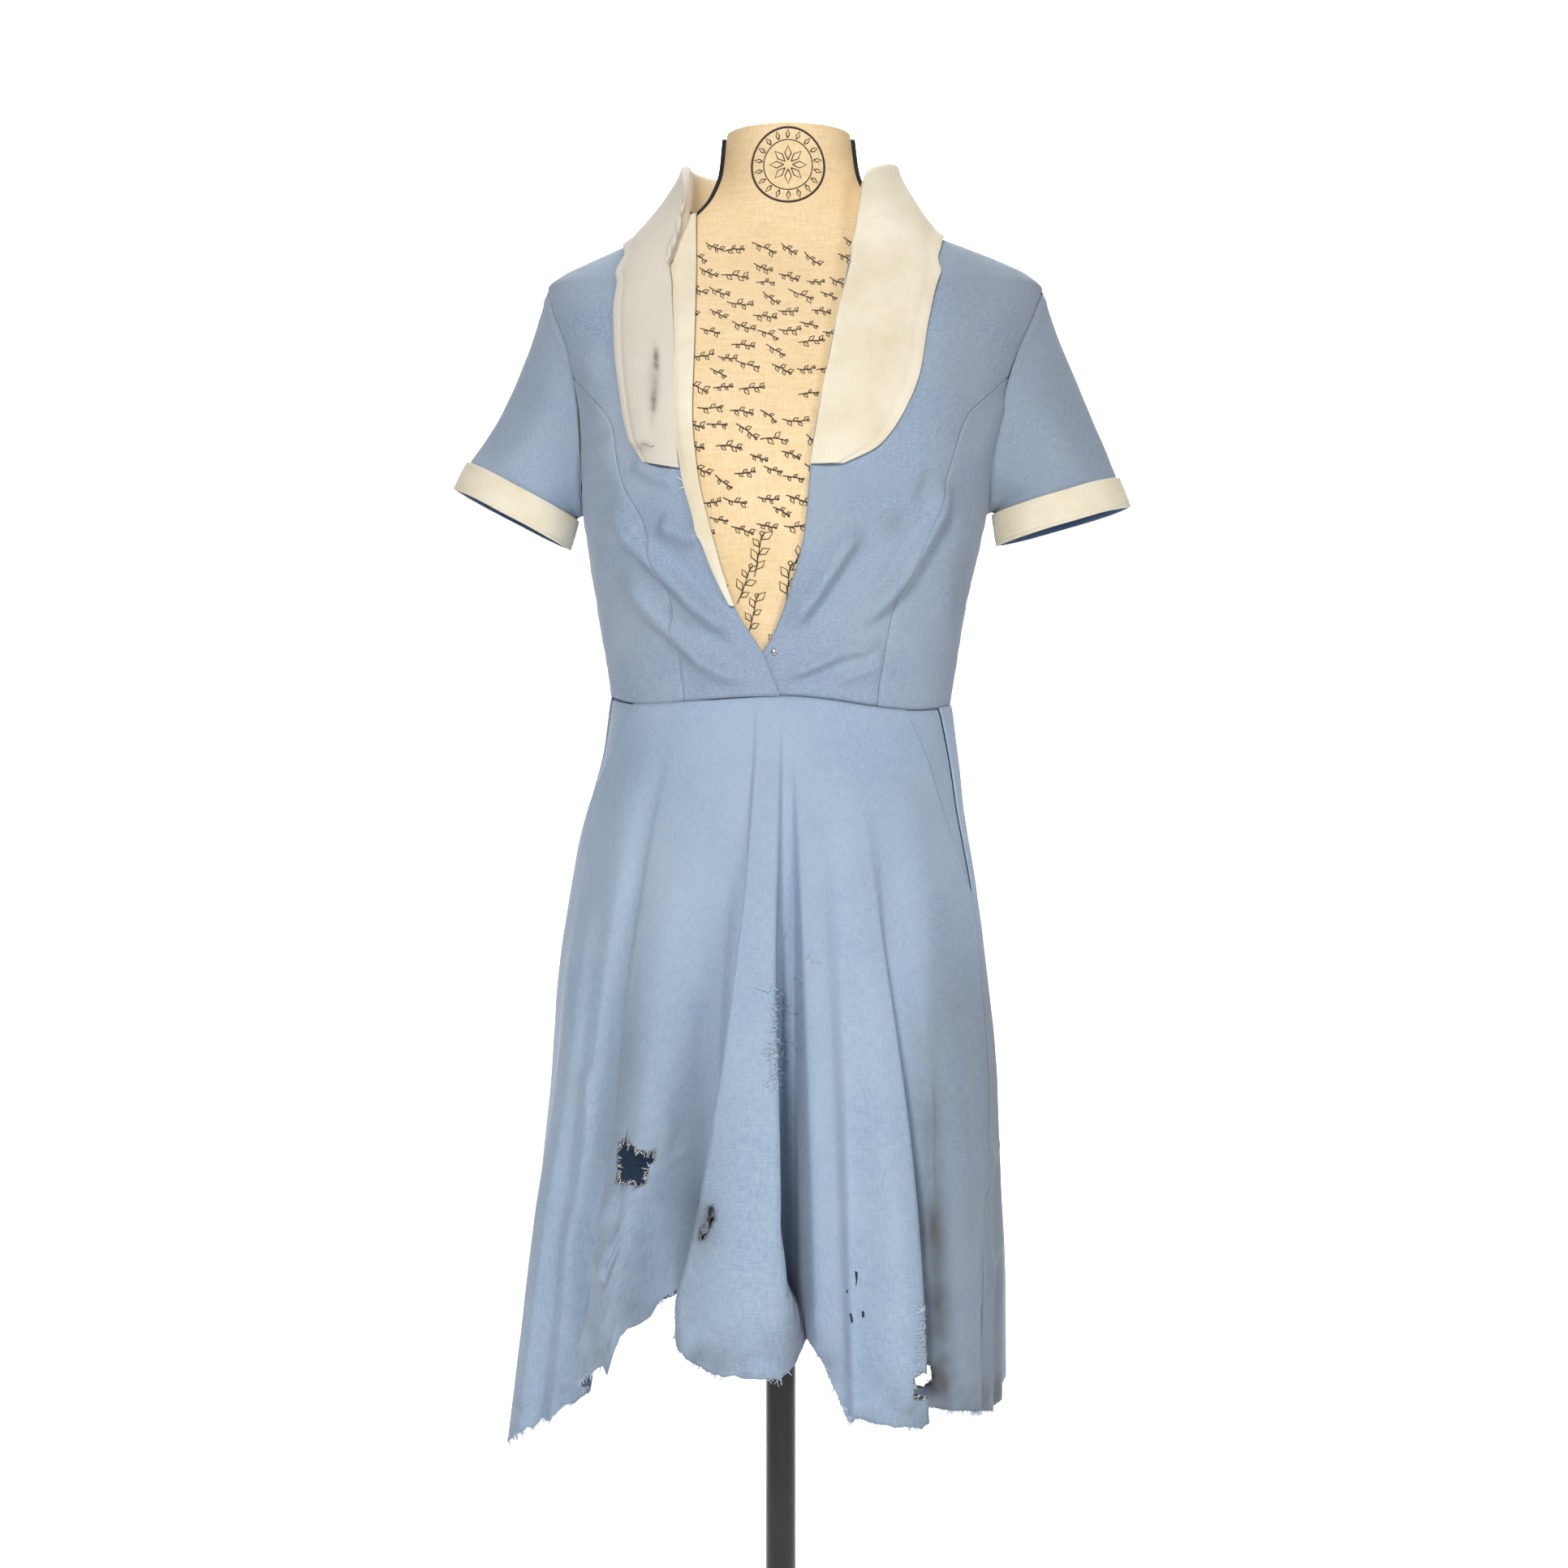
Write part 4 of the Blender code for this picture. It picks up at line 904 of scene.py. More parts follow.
# Skirt
skirtShape = table(
    "height rightSide leftSide front back",
    (0.390, 0.2225, 0.1860, 0.205, 0.190),
    (0.500, 0.2110, 0.1857, 0.200, 0.185),
    (0.600, 0.2015, 0.1838, 0.191, 0.177),
    (0.690, 0.1915, 0.1810, 0.180, 0.167),
    (0.770, 0.1865, 0.1740, 0.167, 0.155),
    (0.850, 0.1750, 0.1645, 0.150, 0.138),
    (0.910, 0.1625, 0.1540, 0.133, 0.120),
    (0.960, 0.1490, 0.1480, 0.117, 0.104),
    (1.007, 0.1425, 0.1425, 0.104, 0.094),
)
hemLine = table(
    "angle height",
    (-180, 0.487), (-150, 0.475), (-115, 0.430), (-95, 0.398), (-75, 0.400), (-60, 0.425),
    (-42, 0.475), (-38.6, 0.480), (-37.8, 0.474), (-37.0, 0.483), (-36.2, 0.500),
    (-31, 0.519), (-28, 0.535), (-25, 0.545), (-21.5, 0.545), (-19.5, 0.529), (-17.5, 0.513),
    (-14, 0.498), (-9, 0.490), (-4, 0.488), (-1, 0.492), (1.5, 0.506), (4, 0.511), (8, 0.501),
    (11, 0.483), (14, 0.462), (17, 0.447), (30, 0.440), (36, 0.447),
    (50, 0.440), (72, 0.425), (90, 0.424), (110, 0.435), (150, 0.475), (180, 0.487),
)
# folds: angle at the waist and at the hem, spread to either side, height at the hem, the share
# of the length where each starts, how much of its width is level before it falls away, how far
# its top leans over to the left and how far it spreads over its own foot
skirtFolds = {
    "leftBackRoll": (-168, -170, 16, 16, 0.012, 0.10, 0.1, -0.006, 0.0),
    "leftBackHollow": (-146, -147, 10, 12, -0.016, 0.15, 0.0, 0.0, 0.0),
    "leftHipRoll": (-122, -124, 14, 12, 0.014, 0.10, 0.1, 0.0, 0.0),
    "rightSeamHollow": (-98, -104, 9, 11, -0.007, 0.30, 0.0, 0.0, 0.0),
    "rightSideRoll": (-59, -68, 14, 10, 0.014, 0.15, 0.2, 0.006, 0.0),
    "rightNarrowHollow": (-38, -52, 7, 3.5, -0.022, 0.08, 0.1, 0.0, 0.0),
    "rightFrontRoll": (-30, -40, 6, 8, 0.008, 0.20, 0.1, 0.0, 0.0),
    "rightLowHollow": (-23, -30, 5, 5, -0.005, 0.40, 0.0, 0.0, 0.0),
    "besidePipeHollow": (-12, -20, 16, 4, -0.046, 0.25, 0.0, 0.0, 0.0),
    "centrePipe": (-3.2, -9.6, 9.5, 8.5, 0.036, 0.02, 0.72, 0.0, 0.022),
    "deepHollow": (1.6, 4.2, 2.4, 3.0, -0.066, 0.12, 0.35, 0.0, 0.0),
    "middleRoll": (8, 12.5, 5, 6, 0.007, 0.10, 0.3, 0.0, 0.0),
    "middleHollow": (15, 20, 6, 6, -0.011, 0.12, 0.0, 0.0, 0.0),
    "leftFrontRoll": (22, 28, 8, 4.5, 0.018, 0.12, 0.45, 0.012, 0.006),
    "leftDeepHollow": (29, 35, 3, 9, -0.040, 0.20, 0.15, 0.0, 0.0),
    "leftSideRoll": (48, 52, 13, 12, 0.010, 0.15, 0.1, 0.0, 0.0),
    "leftSeamHollow": (76, 73, 10, 12, -0.006, 0.30, 0.0, 0.0, 0.0),
    "leftHipBackRoll": (112, 106, 14, 16, 0.013, 0.12, 0.1, 0.0, 0.0),
    "backRightHollow": (136, 134, 11, 10, -0.016, 0.15, 0.0, 0.0, 0.0),
    "backRightRoll": (158, 160, 13, 14, 0.014, 0.08, 0.2, 0.006, 0.0),
    "centreBackHollow": (184, 182, 9, 9, -0.016, 0.12, 0.0, 0.0, 0.0),
}
# the pipe at the centre front is narrow at the hip and flares out at the hem: its spread to
# either side by share of the length
pipeSpread = table(
    "share before after",
    (0.00, 5.5, 4.4), (0.17, 4.4, 3.7), (0.31, 3.9, 2.9), (0.47, 3.8, 2.5), (0.61, 4.3, 2.6),
    (0.74, 4.9, 2.7), (0.85, 6.0, 3.1), (0.96, 9.3, 4.6), (1.00, 11.0, 5.2),
)
skirtSides = table(
    "share rightEdge rightSeam leftEdge leftSeam",
    (0.00, -57.0, -88.0, 45.0, 66.0),
    (0.04, -63.0, -89.0, 50.0, 69.0),
    (0.08, -70.0, -90.0, 54.8, 71.5),
    (0.13, -78.0, -91.5, 58.5, 73.0),
    (0.19, -86.0, -93.0, 64.0, 73.5),
    (0.25, -92.5, -94.0, 69.5, 73.5),
    (0.28, -94.5, -94.5, 73.2, 73.4),
    (0.32, -94.8, -94.8, 72.8, 72.8),
    (0.55, -96.0, -96.0, 68.5, 68.5),
    (0.75, -97.0, -97.0, 63.0, 63.0),
    (1.00, -98.0, -98.0, 56.0, 56.0),
)
skirt = {"frontColumns": 225, "frontRows": 196, "backColumns": 200, "backRows": 150,
         "sideGap": 0.12, "rightColumns": 9, "leftColumns": 4, "pocketShare": 5 / 14,
         "pocketLap": 9.0, "ragged": 0.0045}
frontLines = ([-54 + 4 * i for i in range(9)] + [-18 + 2 * i for i in range(15)]
              + [12 + 3.75 * i for i in range(9)])
# creases of the skirt's front and of its back
skirtCreases = {
    "rightFacet": (0.011, 0.0070, 0.25, (-0.108, 0.600), (-0.122, 0.560), (-0.124, 0.520)),
    "rightFacetLow": (0.010, 0.0060, 0.25, (-0.126, 0.590), (-0.134, 0.548), (-0.128, 0.500)),
    "rightAcross": (0.008, 0.0036, 0.35, (-0.150, 0.566), (-0.132, 0.556), (-0.112, 0.566)),
    "fromHole": (0.006, 0.0020, 0.5, (-0.098, 0.648), (-0.084, 0.640), (-0.066, 0.652)),
    "aboveHole": (0.007, 0.0024, 0.5, (-0.094, 0.690), (-0.084, 0.664), (-0.092, 0.642)),
    "besideSlot": (0.005, 0.0018, 0.5, (-0.048, 0.612), (-0.040, 0.600), (-0.032, 0.584)),
    "outerTuck": (0.008, 0.0030, 0.4, (0.182, 0.640), (0.170, 0.622), (0.164, 0.600)),
    "outerTuckLow": (0.008, 0.0026, 0.4, (0.186, 0.560), (0.172, 0.540), (0.164, 0.512)),
    "lowRightCrease": (0.014, 0.0085, 0.22, (-0.151, 0.605), (-0.157, 0.560), (-0.156, 0.520),
        (-0.150, 0.470)),
    "rightOfRoll": (0.012, 0.0045, 0.28, (-0.154, 0.712), (-0.146, 0.670), (-0.136, 0.628)),
    "rightSlant": (0.008, 0.0028, 0.35, (-0.128, 0.612), (-0.142, 0.585), (-0.152, 0.562)),
    "rightSlantLow": (0.008, 0.0026, 0.35, (-0.118, 0.560), (-0.128, 0.530), (-0.142, 0.500)),
    "besideHole": (0.007, -0.0065, 2.2, (-0.104, 0.618), (-0.110, 0.590), (-0.103, 0.552),
        (-0.106, 0.530)),
    "underHole": (0.006, 0.0022, 0.6, (-0.130, 0.620), (-0.138, 0.580), (-0.128, 0.535)),
    "rightHipSoft": (0.014, 0.0026, 1.0, (-0.120, 0.960), (-0.128, 0.880), (-0.140, 0.800)),
    "pipeSoft": (0.012, 0.0020, 1.5, (-0.040, 0.800), (-0.052, 0.700), (-0.070, 0.600)),
    "leftHipSoft": (0.014, 0.0028, 1.0, (0.098, 0.950), (0.112, 0.860), (0.124, 0.760)),
    "leftLowSoft": (0.012, 0.0024, 1.4, (0.060, 0.700), (0.078, 0.600), (0.088, 0.500)),
    "edgeTuck": (0.005, 0.0040, 0.4, (0.118, 0.705), (0.116, 0.600), (0.110, 0.520)),
    "acrossKnee": (0.010, 0.0012, 1.0, (-0.070, 0.690), (-0.030, 0.680), (0.000, 0.684)),
    "leftAcross": (0.008, 0.0016, 1.0, (0.140, 0.640), (0.160, 0.630), (0.178, 0.634)),
}
skirtBackCreases = {
    "seatPress": (0.012, 0.0020, 0.6, (-0.090, 0.900), (-0.020, 0.886), (0.060, 0.902)),
    "rightSeat": (0.012, 0.0026, 1.0, (-0.120, 0.960), (-0.116, 0.860), (-0.124, 0.760)),
    "leftSeat": (0.012, 0.0028, 1.0, (0.100, 0.950), (0.104, 0.850), (0.114, 0.740)),
    "lowBack": (0.008, 0.0030, 0.6, (-0.060, 0.640), (-0.066, 0.580), (-0.074, 0.520)),
    "lowBackLeft": (0.008, 0.0030, 0.6, (0.070, 0.660), (0.080, 0.590), (0.082, 0.520)),
}


def carry(value, source, target):
    i = min(max(bisect.bisect_right(source, value) - 1, 0), len(source) - 2)
    share = (value - source[i]) / (source[i + 1] - source[i])
    return target[i] + (target[i + 1] - target[i]) * share


@lru_cache(maxsize=None)
def foldAngles(share):
    waist = [fold[0] for fold in skirtFolds.values()]
    here = [top + (fold[1] - top) * share for top, fold in zip(waist, skirtFolds.values())]
    return [waist[-1] - 360] + waist, [here[-1] - 360] + here


def skirtPoint(angle, share, out=0.0, ragged=0.0):
    # share 0 is at the waist seam and 1 at the hem
    flat = roundAngle(angle)
    atWaist, here = foldAngles(share)
    line = carry((angle - here[0]) % 360 + here[0], here, atWaist)
    top = waistSeam("height", flat) + cloth["seam"] / 2
    low = hemLine("height", flat) + ragged
    height = top + (low - top) * share
    turn = math.radians(angle)
    stretch = out
    lean = 0.0
    for name, fold in skirtFolds.items():
        waistAngle, hemAngle, before, after, rise, start, level, sway, flare = fold
        away = (line - waistAngle + 180) % 360 - 180
        spread = before if away < 0 else after
        if name == "centrePipe" and abs(away) < spread:
            spread = pipeSpread("before" if away < 0 else "after", share)
        if abs(away) < spread:
            slope = max(abs(away) / spread - level, 0.0) / (1 - level)
            wave = 0.5 + 0.5 * math.cos(math.pi * slope)
            stretch += rise * wave * ease(start - 0.10, 1.00, share)
            lean += sway * wave * ease(start, 0.75, share)
            lean += flare * wave * away / spread * ease(0.10, 1.00, share)
    side = skirtShape("leftSide" if math.sin(turn) > 0 else "rightSide", height) + stretch
    depth = skirtShape("front" if math.cos(turn) > 0 else "back", height) + stretch
    point = Vector((body("shift", height) + side * math.sin(turn), -depth * math.cos(turn), height))
    creases = skirtCreases if math.cos(turn) > 0 else skirtBackCreases
    fade = ease(0.0, 0.10, share)
    soft = creaseRise(creases, point.x, point.z) * fade
    soft += 0.0022 * ripple((point.x, point.y, point.z * 0.40), 0.065, 11) * fade
    soft += 0.0003 * ripple(point, 0.030, 14) * fade
    soft -= 0.0006 * bump(0.0, 0.006, share)
    across = Vector((math.cos(turn), math.sin(turn), 0)) * lean
    return point + Vector((math.sin(turn), -math.cos(turn), 0)) * soft + across


def raggedness(angle):
    # the torn hem, finer and deeper in the front
    where = (angle * 0.0032, 0.0, 0.0)
    front = 0.45 + 0.55 * ease(75, 50, abs(angle + 5)) * ease(40, 36, angle)
    front *= 0.4 + 0.6 * ease(40, 36, angle)
    return skirt["ragged"] * front * (ripple(where, 0.016, 21) + 0.8 * ripple(where, 0.006, 23)
                                      + 0.5 * ripple(where, 0.0025, 27))


def skirtLine(u, share):
    # the front's columns follow its folds, and the rest spreads to its side edges
    atWaist, here = foldAngles(share)
    right = carry(skirtSides("rightEdge", share) + skirt["sideGap"], here, atWaist)
    left = carry(skirtSides("leftEdge", share) - skirt["sideGap"], here, atWaist)
    count = skirt["rightColumns"] + len(frontLines) - 1 + skirt["leftColumns"]
    column = u * count
    if column < skirt["rightColumns"]:
        line = right + (frontLines[0] - right) * column / skirt["rightColumns"]
    elif column < count - skirt["leftColumns"]:
        line = rowHeight(frontLines, (column - skirt["rightColumns"]) / (len(frontLines) - 1))
    else:
        past = column - count + skirt["leftColumns"]
        line = frontLines[-1] + (left - frontLines[-1]) * past / skirt["leftColumns"]
    return carry(line, atWaist, here)


def skirtFrontPoint(u, v):
    share = 1 - v
    angle = skirtLine(u, share)
    torn = raggedness(angle) * ease(0.93, 1.0, share)
    # the pocket mouths gape a little and their edges are turned in
    gape = 0.0008 * bump(0.13, 0.07, share) * (bump(0.0, 0.035, u) + bump(1.0, 0.030, u))
    edge = -0.0008 * (bump(0.0, 0.004, u) + bump(1.0, 0.004, u))
    return skirtPoint(angle, share, gape + edge, torn)


def skirtBackPoint(u, v):
    share = 1 - v
    start = skirtSides("leftSeam", share) + skirt["sideGap"]
    end = skirtSides("rightSeam", share) + 360 - skirt["sideGap"]
    angle = start + (end - start) * u
    torn = raggedness(roundAngle(angle)) * ease(0.93, 1.0, share)
    edge = -0.0008 * (bump(0.0, 0.004, u) + bump(1.0, 0.004, u) + 0.8 * bump(0.5, 0.003, u))
    return skirtPoint(angle, share, edge, torn)


def pocketPlace(name):
    side = 1 if name == "left" else -1

    def place(u, v):
        share = skirt["pocketShare"] * (1 - v)
        seam = skirtSides(name + "Seam", share) - side * skirt["sideGap"]
        mouth = skirtSides(name + "Edge", share) - side * skirt["pocketLap"]
        angle = mouth + (seam - mouth) * (u if side > 0 else 1 - u)
        return skirtPoint(angle, share, -cloth["solidWall"] - 0.0008)
    return place


faded = ("skirtTwill", "shadedReverseTwill")
pieces["skirt_front"] = clothGrid("skirt_front_cloth", skirt["frontColumns"], skirt["frontRows"],
                                  skirtFrontPoint, cloth["wall"], (0.62, 0.60), faded)
pieces["skirt_back"] = clothGrid("skirt_back_cloth", skirt["backColumns"], skirt["backRows"],
                                 skirtBackPoint, cloth["wall"], (0.66, 0.58), faded)
for name in ("right", "left"):
    pieces["pocket_panel_" + name] = clothGrid("pocket_" + name, 36, 70, pocketPlace(name),
                                               cloth["wall"], (0.12, 0.21), faded)
print("skirt ready")


# Rips through the skirt front and small charred spots, as outlines of (across, height)
rips = {
    "squareHole": ((-0.1268, 0.6515), (-0.1230, 0.6540), (-0.1175, 0.6530), (-0.1125, 0.6480),
                   (-0.0980, 0.6462), (-0.0975, 0.6405), (-0.1022, 0.6365), (-0.1034, 0.6285),
                   (-0.1060, 0.6215), (-0.1110, 0.6205), (-0.1180, 0.6230), (-0.1290, 0.6215),
                   (-0.1272, 0.6290)),
    "burntSlot": ((-0.0535, 0.614), (-0.0510, 0.613), (-0.0505, 0.604), (-0.0545, 0.598),
                  (-0.0560, 0.590), (-0.0600, 0.589), (-0.0600, 0.597), (-0.0555, 0.602)),
    "lowHole": ((0.103, 0.478), (0.110, 0.481), (0.117, 0.478), (0.118, 0.468),
                (0.112, 0.461), (0.103, 0.463)),
}
charMarks = {
    "slit": ((0.0575, 0.558), (0.0595, 0.557), (0.0590, 0.550), (0.0580, 0.546)),
    "burn": ((0.0625, 0.528), (0.0645, 0.527), (0.0645, 0.523), (0.0625, 0.523)),
    "burnLow": ((0.0530, 0.5265), (0.0550, 0.5255), (0.0560, 0.5180), (0.0545, 0.5190)),
    "burnSide": ((0.0505, 0.5450), (0.0520, 0.5445), (0.0518, 0.5420), (0.0505, 0.5425)),
}
tear = {"step": 0.0016, "jag": 0.0011, "from": -0.32, "to": -0.06}


def raggedOutline(outline, seed):
    points = []
    for (ax, ay), (bx, by) in zip(outline, outline[1:] + outline[:1]):
        length = math.hypot(bx - ax, by - ay)
        count = max(1, round(length / tear["step"]))
        jag = min(tear["jag"], length * 0.12)
        for i in range(count):
            x, y = ax + (bx - ax) * i / count, ay + (by - ay) * i / count
            rough = noise.noise(Vector((x, y, seed)) * 900) * jag if i else 0.0
            points.append((x - (by - ay) / length * rough, y + (bx - ax) / length * rough))
    return points


def cutRips(piece):
    shape = bmesh.new()
    for seed, outline in enumerate(rips.values()):
        lid = shape.faces.new([shape.verts.new((x, tear["from"], z))
                               for x, z in raggedOutline(outline, seed)])
        grown = bmesh.ops.extrude_face_region(shape, geom=[lid])
        moved = [part for part in grown["geom"] if isinstance(part, bmesh.types.BMVert)]
        bmesh.ops.translate(shape, verts=moved, vec=(0, tear["to"] - tear["from"], 0))
    bmesh.ops.recalc_face_normals(shape, faces=shape.faces)
    mesh = bpy.data.meshes.new("ripShapes")
    shape.to_mesh(mesh)
    shape.free()
    cutter = bpy.data.objects.new("ripShapes", mesh)
    scene.collection.objects.link(cutter)
    cut = piece.modifiers.new("rips", "BOOLEAN")
    cut.operation = "DIFFERENCE"
    cut.solver = "EXACT"
    cut.object = cutter
    applyAll(piece)
    bpy.data.objects.remove(cutter)


cutRips(pieces["skirt_front"])
for node, piece in pieces.items():
    if piece.modifiers:
        applyAll(piece)
print("walls and rips ready")


# Dress form: the torso cover, the cord along its shoulder seams and its printed sprigs
form = {
    "rows": (0.770, 0.805, 0.840, 0.875, 0.910, 0.940, 0.970) + bodice["rows"]
            + (1.416, 1.425, 1.437, 1.450, 1.475),
    "columns": 128, "rowsEach": 5, "rim": 0.0025,
    "cordRadius": 0.0030, "cordLow": 1.380, "inkRadius": 0.00050,
}


def formPoint(angle, height, lift=0.0):
    return bodyPoint(angle, height, lift - cloth["solidWall"] - body("air", height))


def formCover():
    shape = bmesh.new()
    bmesh.ops.create_cone(shape, segments=form["columns"], radius1=1, radius2=1, depth=1,
                          cap_ends=True)
    walls = [e for e in shape.edges if abs(e.verts[0].co.z - e.verts[1].co.z) > 0.5]
    cuts = (len(form["rows"]) - 1) * form["rowsEach"] - 1
    bmesh.ops.subdivide_edges(shape, edges=walls, cuts=cuts, use_grid_fill=True)
    low, high = form["rows"][0], form["rows"][-1]
    for point in shape.verts:
        angle = math.degrees(math.atan2(point.co.x, -point.co.y))
        height = rowHeight(form["rows"], point.co.z + 0.5)
        point.co = formPoint(angle, height)
        if height - low < 1e-6 or high - height < 1e-6:
            point.co.z = height
    rim = [e for e in shape.edges if all(v.co.z in (low, high) for v in e.verts)
           and any(len(f.verts) > 4 for f in e.link_faces)]
    bmesh.ops.bevel(shape, geom=rim, offset=form["rim"], segments=3, profile=0.5,
                    affect="EDGES", material=-1)
    mesh = bpy.data.meshes.new("form_cover")
    shape.to_mesh(mesh)
    shape.free()
    mesh.shade_smooth()
    mesh.set_sharp_from_angle(angle=math.radians(50))
    piece = bpy.data.objects.new("form_cover", mesh)
    scene.collection.objects.link(piece)
    return piece


pieces["form_body"] = formCover()
print("form ready")


# Soil, stains and scorching, and painted shade in the skirt's folds and on the collar's right leaf,
# painted on by place
def smear(point, x, z, halfAcross, halfUp, turn=0.0):
    dx, dz = point.x - x, point.z - z
    across = dx * math.cos(turn) + dz * math.sin(turn)
    up = -dx * math.sin(turn) + dz * math.cos(turn)
    return math.exp(-(across / halfAcross) ** 2 - (up / halfUp) ** 2)


def skirtSoilAndShade(point):
    angle = math.degrees(math.atan2(point.x, -point.y))
    above = point.z - hemLine("height", angle)
    rough = 0.5 + ripple(point, 0.030, 31) + 0.5 * ripple(point, 0.010, 33)
    value = 0.35 * ease(0.06, 0.0, above) * rough
    if point.y < 0:
        # painted shadow, with some grime: a grey band on the cloth just behind the right front
        # roll's edge
        value += 0.60 * smear(point, 0.119, 0.560, 0.011, 0.17, 0.05) * (0.7 + 0.5 * rough)
        # painted shade: the cloth right of that edge, low down, darker
        value += 0.36 * ease(0.110, 0.124, point.x) * ease(0.86, 0.74, point.z)
        # painted shade: the far right side, where the skirt turns away, darker
        value += 0.20 * ease(0.158, 0.172, point.x)
        # painted shade: a narrow dark band in the deep hollow beside the pipe
        value += 0.25 * smear(point, 0.010, 0.560, 0.009, 0.22)
        # painted shade: the slope left of the pipe darker
        value += 0.30 * smear(point, -0.068, 0.640, 0.026, 0.13)
        value += 0.35 * smear(point, -0.058, 0.600, 0.012, 0.020)
        value += 0.20 * smear(point, -0.118, 0.640, 0.030, 0.030) * rough
        # painted shade: the narrow hollow above the square hole darker
        value += 0.34 * smear(point, -0.122, 0.700, 0.018, 0.085, -0.12)
        value += 0.26 * smear(point, -0.128, 0.540, 0.020, 0.050)
    return value


def skirtScorch(point):
    if point.y > 0:
        return 0.0
    value = 0.0
    for name, reach in (("burntSlot", 0.0013), ("squareHole", 0.0004), ("lowHole", 0.0012)):
        outline = rips[name]
        if abs(point.x - outline[0][0]) > 0.05 or abs(point.z - outline[0][1]) > 0.06:
            continue
        for (ax, ay), (bx, by) in zip(outline, outline[1:] + outline[:1]):
            dx, dy = bx - ax, by - ay
            t = min(max(((point.x - ax) * dx + (point.z - ay) * dy) / (dx * dx + dy * dy), 0), 1)
            away = math.hypot(point.x - ax - dx * t, point.z - ay - dy * t)
            value = max(value, math.exp(-(away / reach) ** 2) * (0.75 + ripple(point, 0.004, 35)))
    return value


def bodiceSoil(point):
    if point.y > 0:
        return 0.12 * max(ripple(point, 0.05, 41), 0.0)
    value = 0.35 * smear(point, 0.110, 1.168, 0.004, 0.016, -0.3)
    value += 0.22 * ease(0.110, 0.150, point.x)
    value += 0.25 * smear(point, 0.090, 1.140, 0.010, 0.012, -0.5)
    value += 0.12 * smear(point, 0.098, 1.230, 0.005, 0.020, -0.4)
    return value + 0.10 * max(ripple(point, 0.045, 43), 0.0)


def collarStain(point):
    upper = smear(point, -0.0985, 1.268, 0.0024, 0.010, 0.02)
    lower = smear(point, -0.1005, 1.234, 0.0026, 0.013, -0.08)
    value = 0.85 * upper * (0.7 + ripple(point, 0.006, 45))
    value += 0.60 * lower * (0.7 + ripple(point, 0.005, 46))
    value += 0.30 * smear(point, -0.1000, 1.250, 0.0050, 0.024)
    value += 0.35 * smear(point, -0.112, 1.199, 0.010, 0.004)
    return value * (1.0 if point.y < 0 else 0.0)


def collarLeafShade(point):
    # painted shade: the right leaf, turned away from the light, is painted greyer than the left one
    return 0.75 * ease(0.02, -0.06, point.x) * ease(0.04, -0.02, point.y)


def noSoil(point):
    return 0.0


for node, piece in pieces.items():
    if node.startswith(("bodice", "sleeve")):
        paint(piece, "soilAndShade", bodiceSoil)
        paint(piece, "scorch", noSoil)
    elif node.startswith(("skirt", "pocket")):
        paint(piece, "soilAndShade", skirtSoilAndShade)
        paint(piece, "scorch", skirtScorch if node == "skirt_front" else noSoil)
    elif node == "form_body":
        piece.data.materials.append(materials["linen"])
    else:
        paint(piece, "leafShade", collarLeafShade if node == "collar" else noSoil)
        paint(piece, "soilAndShade", collarStain if node == "collar" else noSoil)
print("stains ready")


# Cord along the neck's side seams, and the printed sprigs on the cover
details = {}
print("small pieces")


def neckCords():
    strands = []
    for side in (-90, 90):
        count = 40
        strands.append([formPoint(side, form["rows"][-1] - form["rim"] - (form["rows"][-1]
                        - form["cordLow"]) * i / count, 0.0008) for i in range(count + 1)])
    return strands


details["neck_cord"] = threads("neck_cord", neckCords(), form["cordRadius"], materials["cord"],
                               sides=2)

sprigs = {"seed": 5, "low": 1.030, "high": 1.375, "across": 0.096, "tries": 4500,
          "bigBelow": 1.125, "ringCentre": (0.006, 1.440), "ringRadius": 0.0315}


def sprigStrokes(size, leaves, draw):
    # a leafy twig in its own plane: a bowed stem with closed leaves to either side and a bud
    strokes = []
    bend = draw.uniform(-0.35, 0.35)

    def stemAt(t):
        return (size * (t - 0.5), size * bend * t * (1 - t))

    strokes.append([stemAt(i / 8) for i in range(9)])
    for i in range(leaves):
        x, y = stemAt((i + 1) / (leaves + 0.6))
        way = 1 if i % 2 else -1
        leaf = size * draw.uniform(0.26, 0.36)
        turn = way * draw.uniform(0.6, 0.95)
        tip = (leaf * math.cos(turn), leaf * math.sin(turn))
        aside = (-tip[1] * 0.26, tip[0] * 0.26)
        strokes.append([(x, y), (x + tip[0] * 0.5 + aside[0], y + tip[1] * 0.5 + aside[1]),
                        (x + tip[0], y + tip[1]),
                        (x + tip[0] * 0.5 - aside[0], y + tip[1] * 0.5 - aside[1]), (x, y)])
    x, y = stemAt(1.0)
    strokes.append([(x + size * 0.05 * (1 - math.cos(j)), y + size * 0.05 * math.sin(j))
                    for j in range(7)])
    return strokes


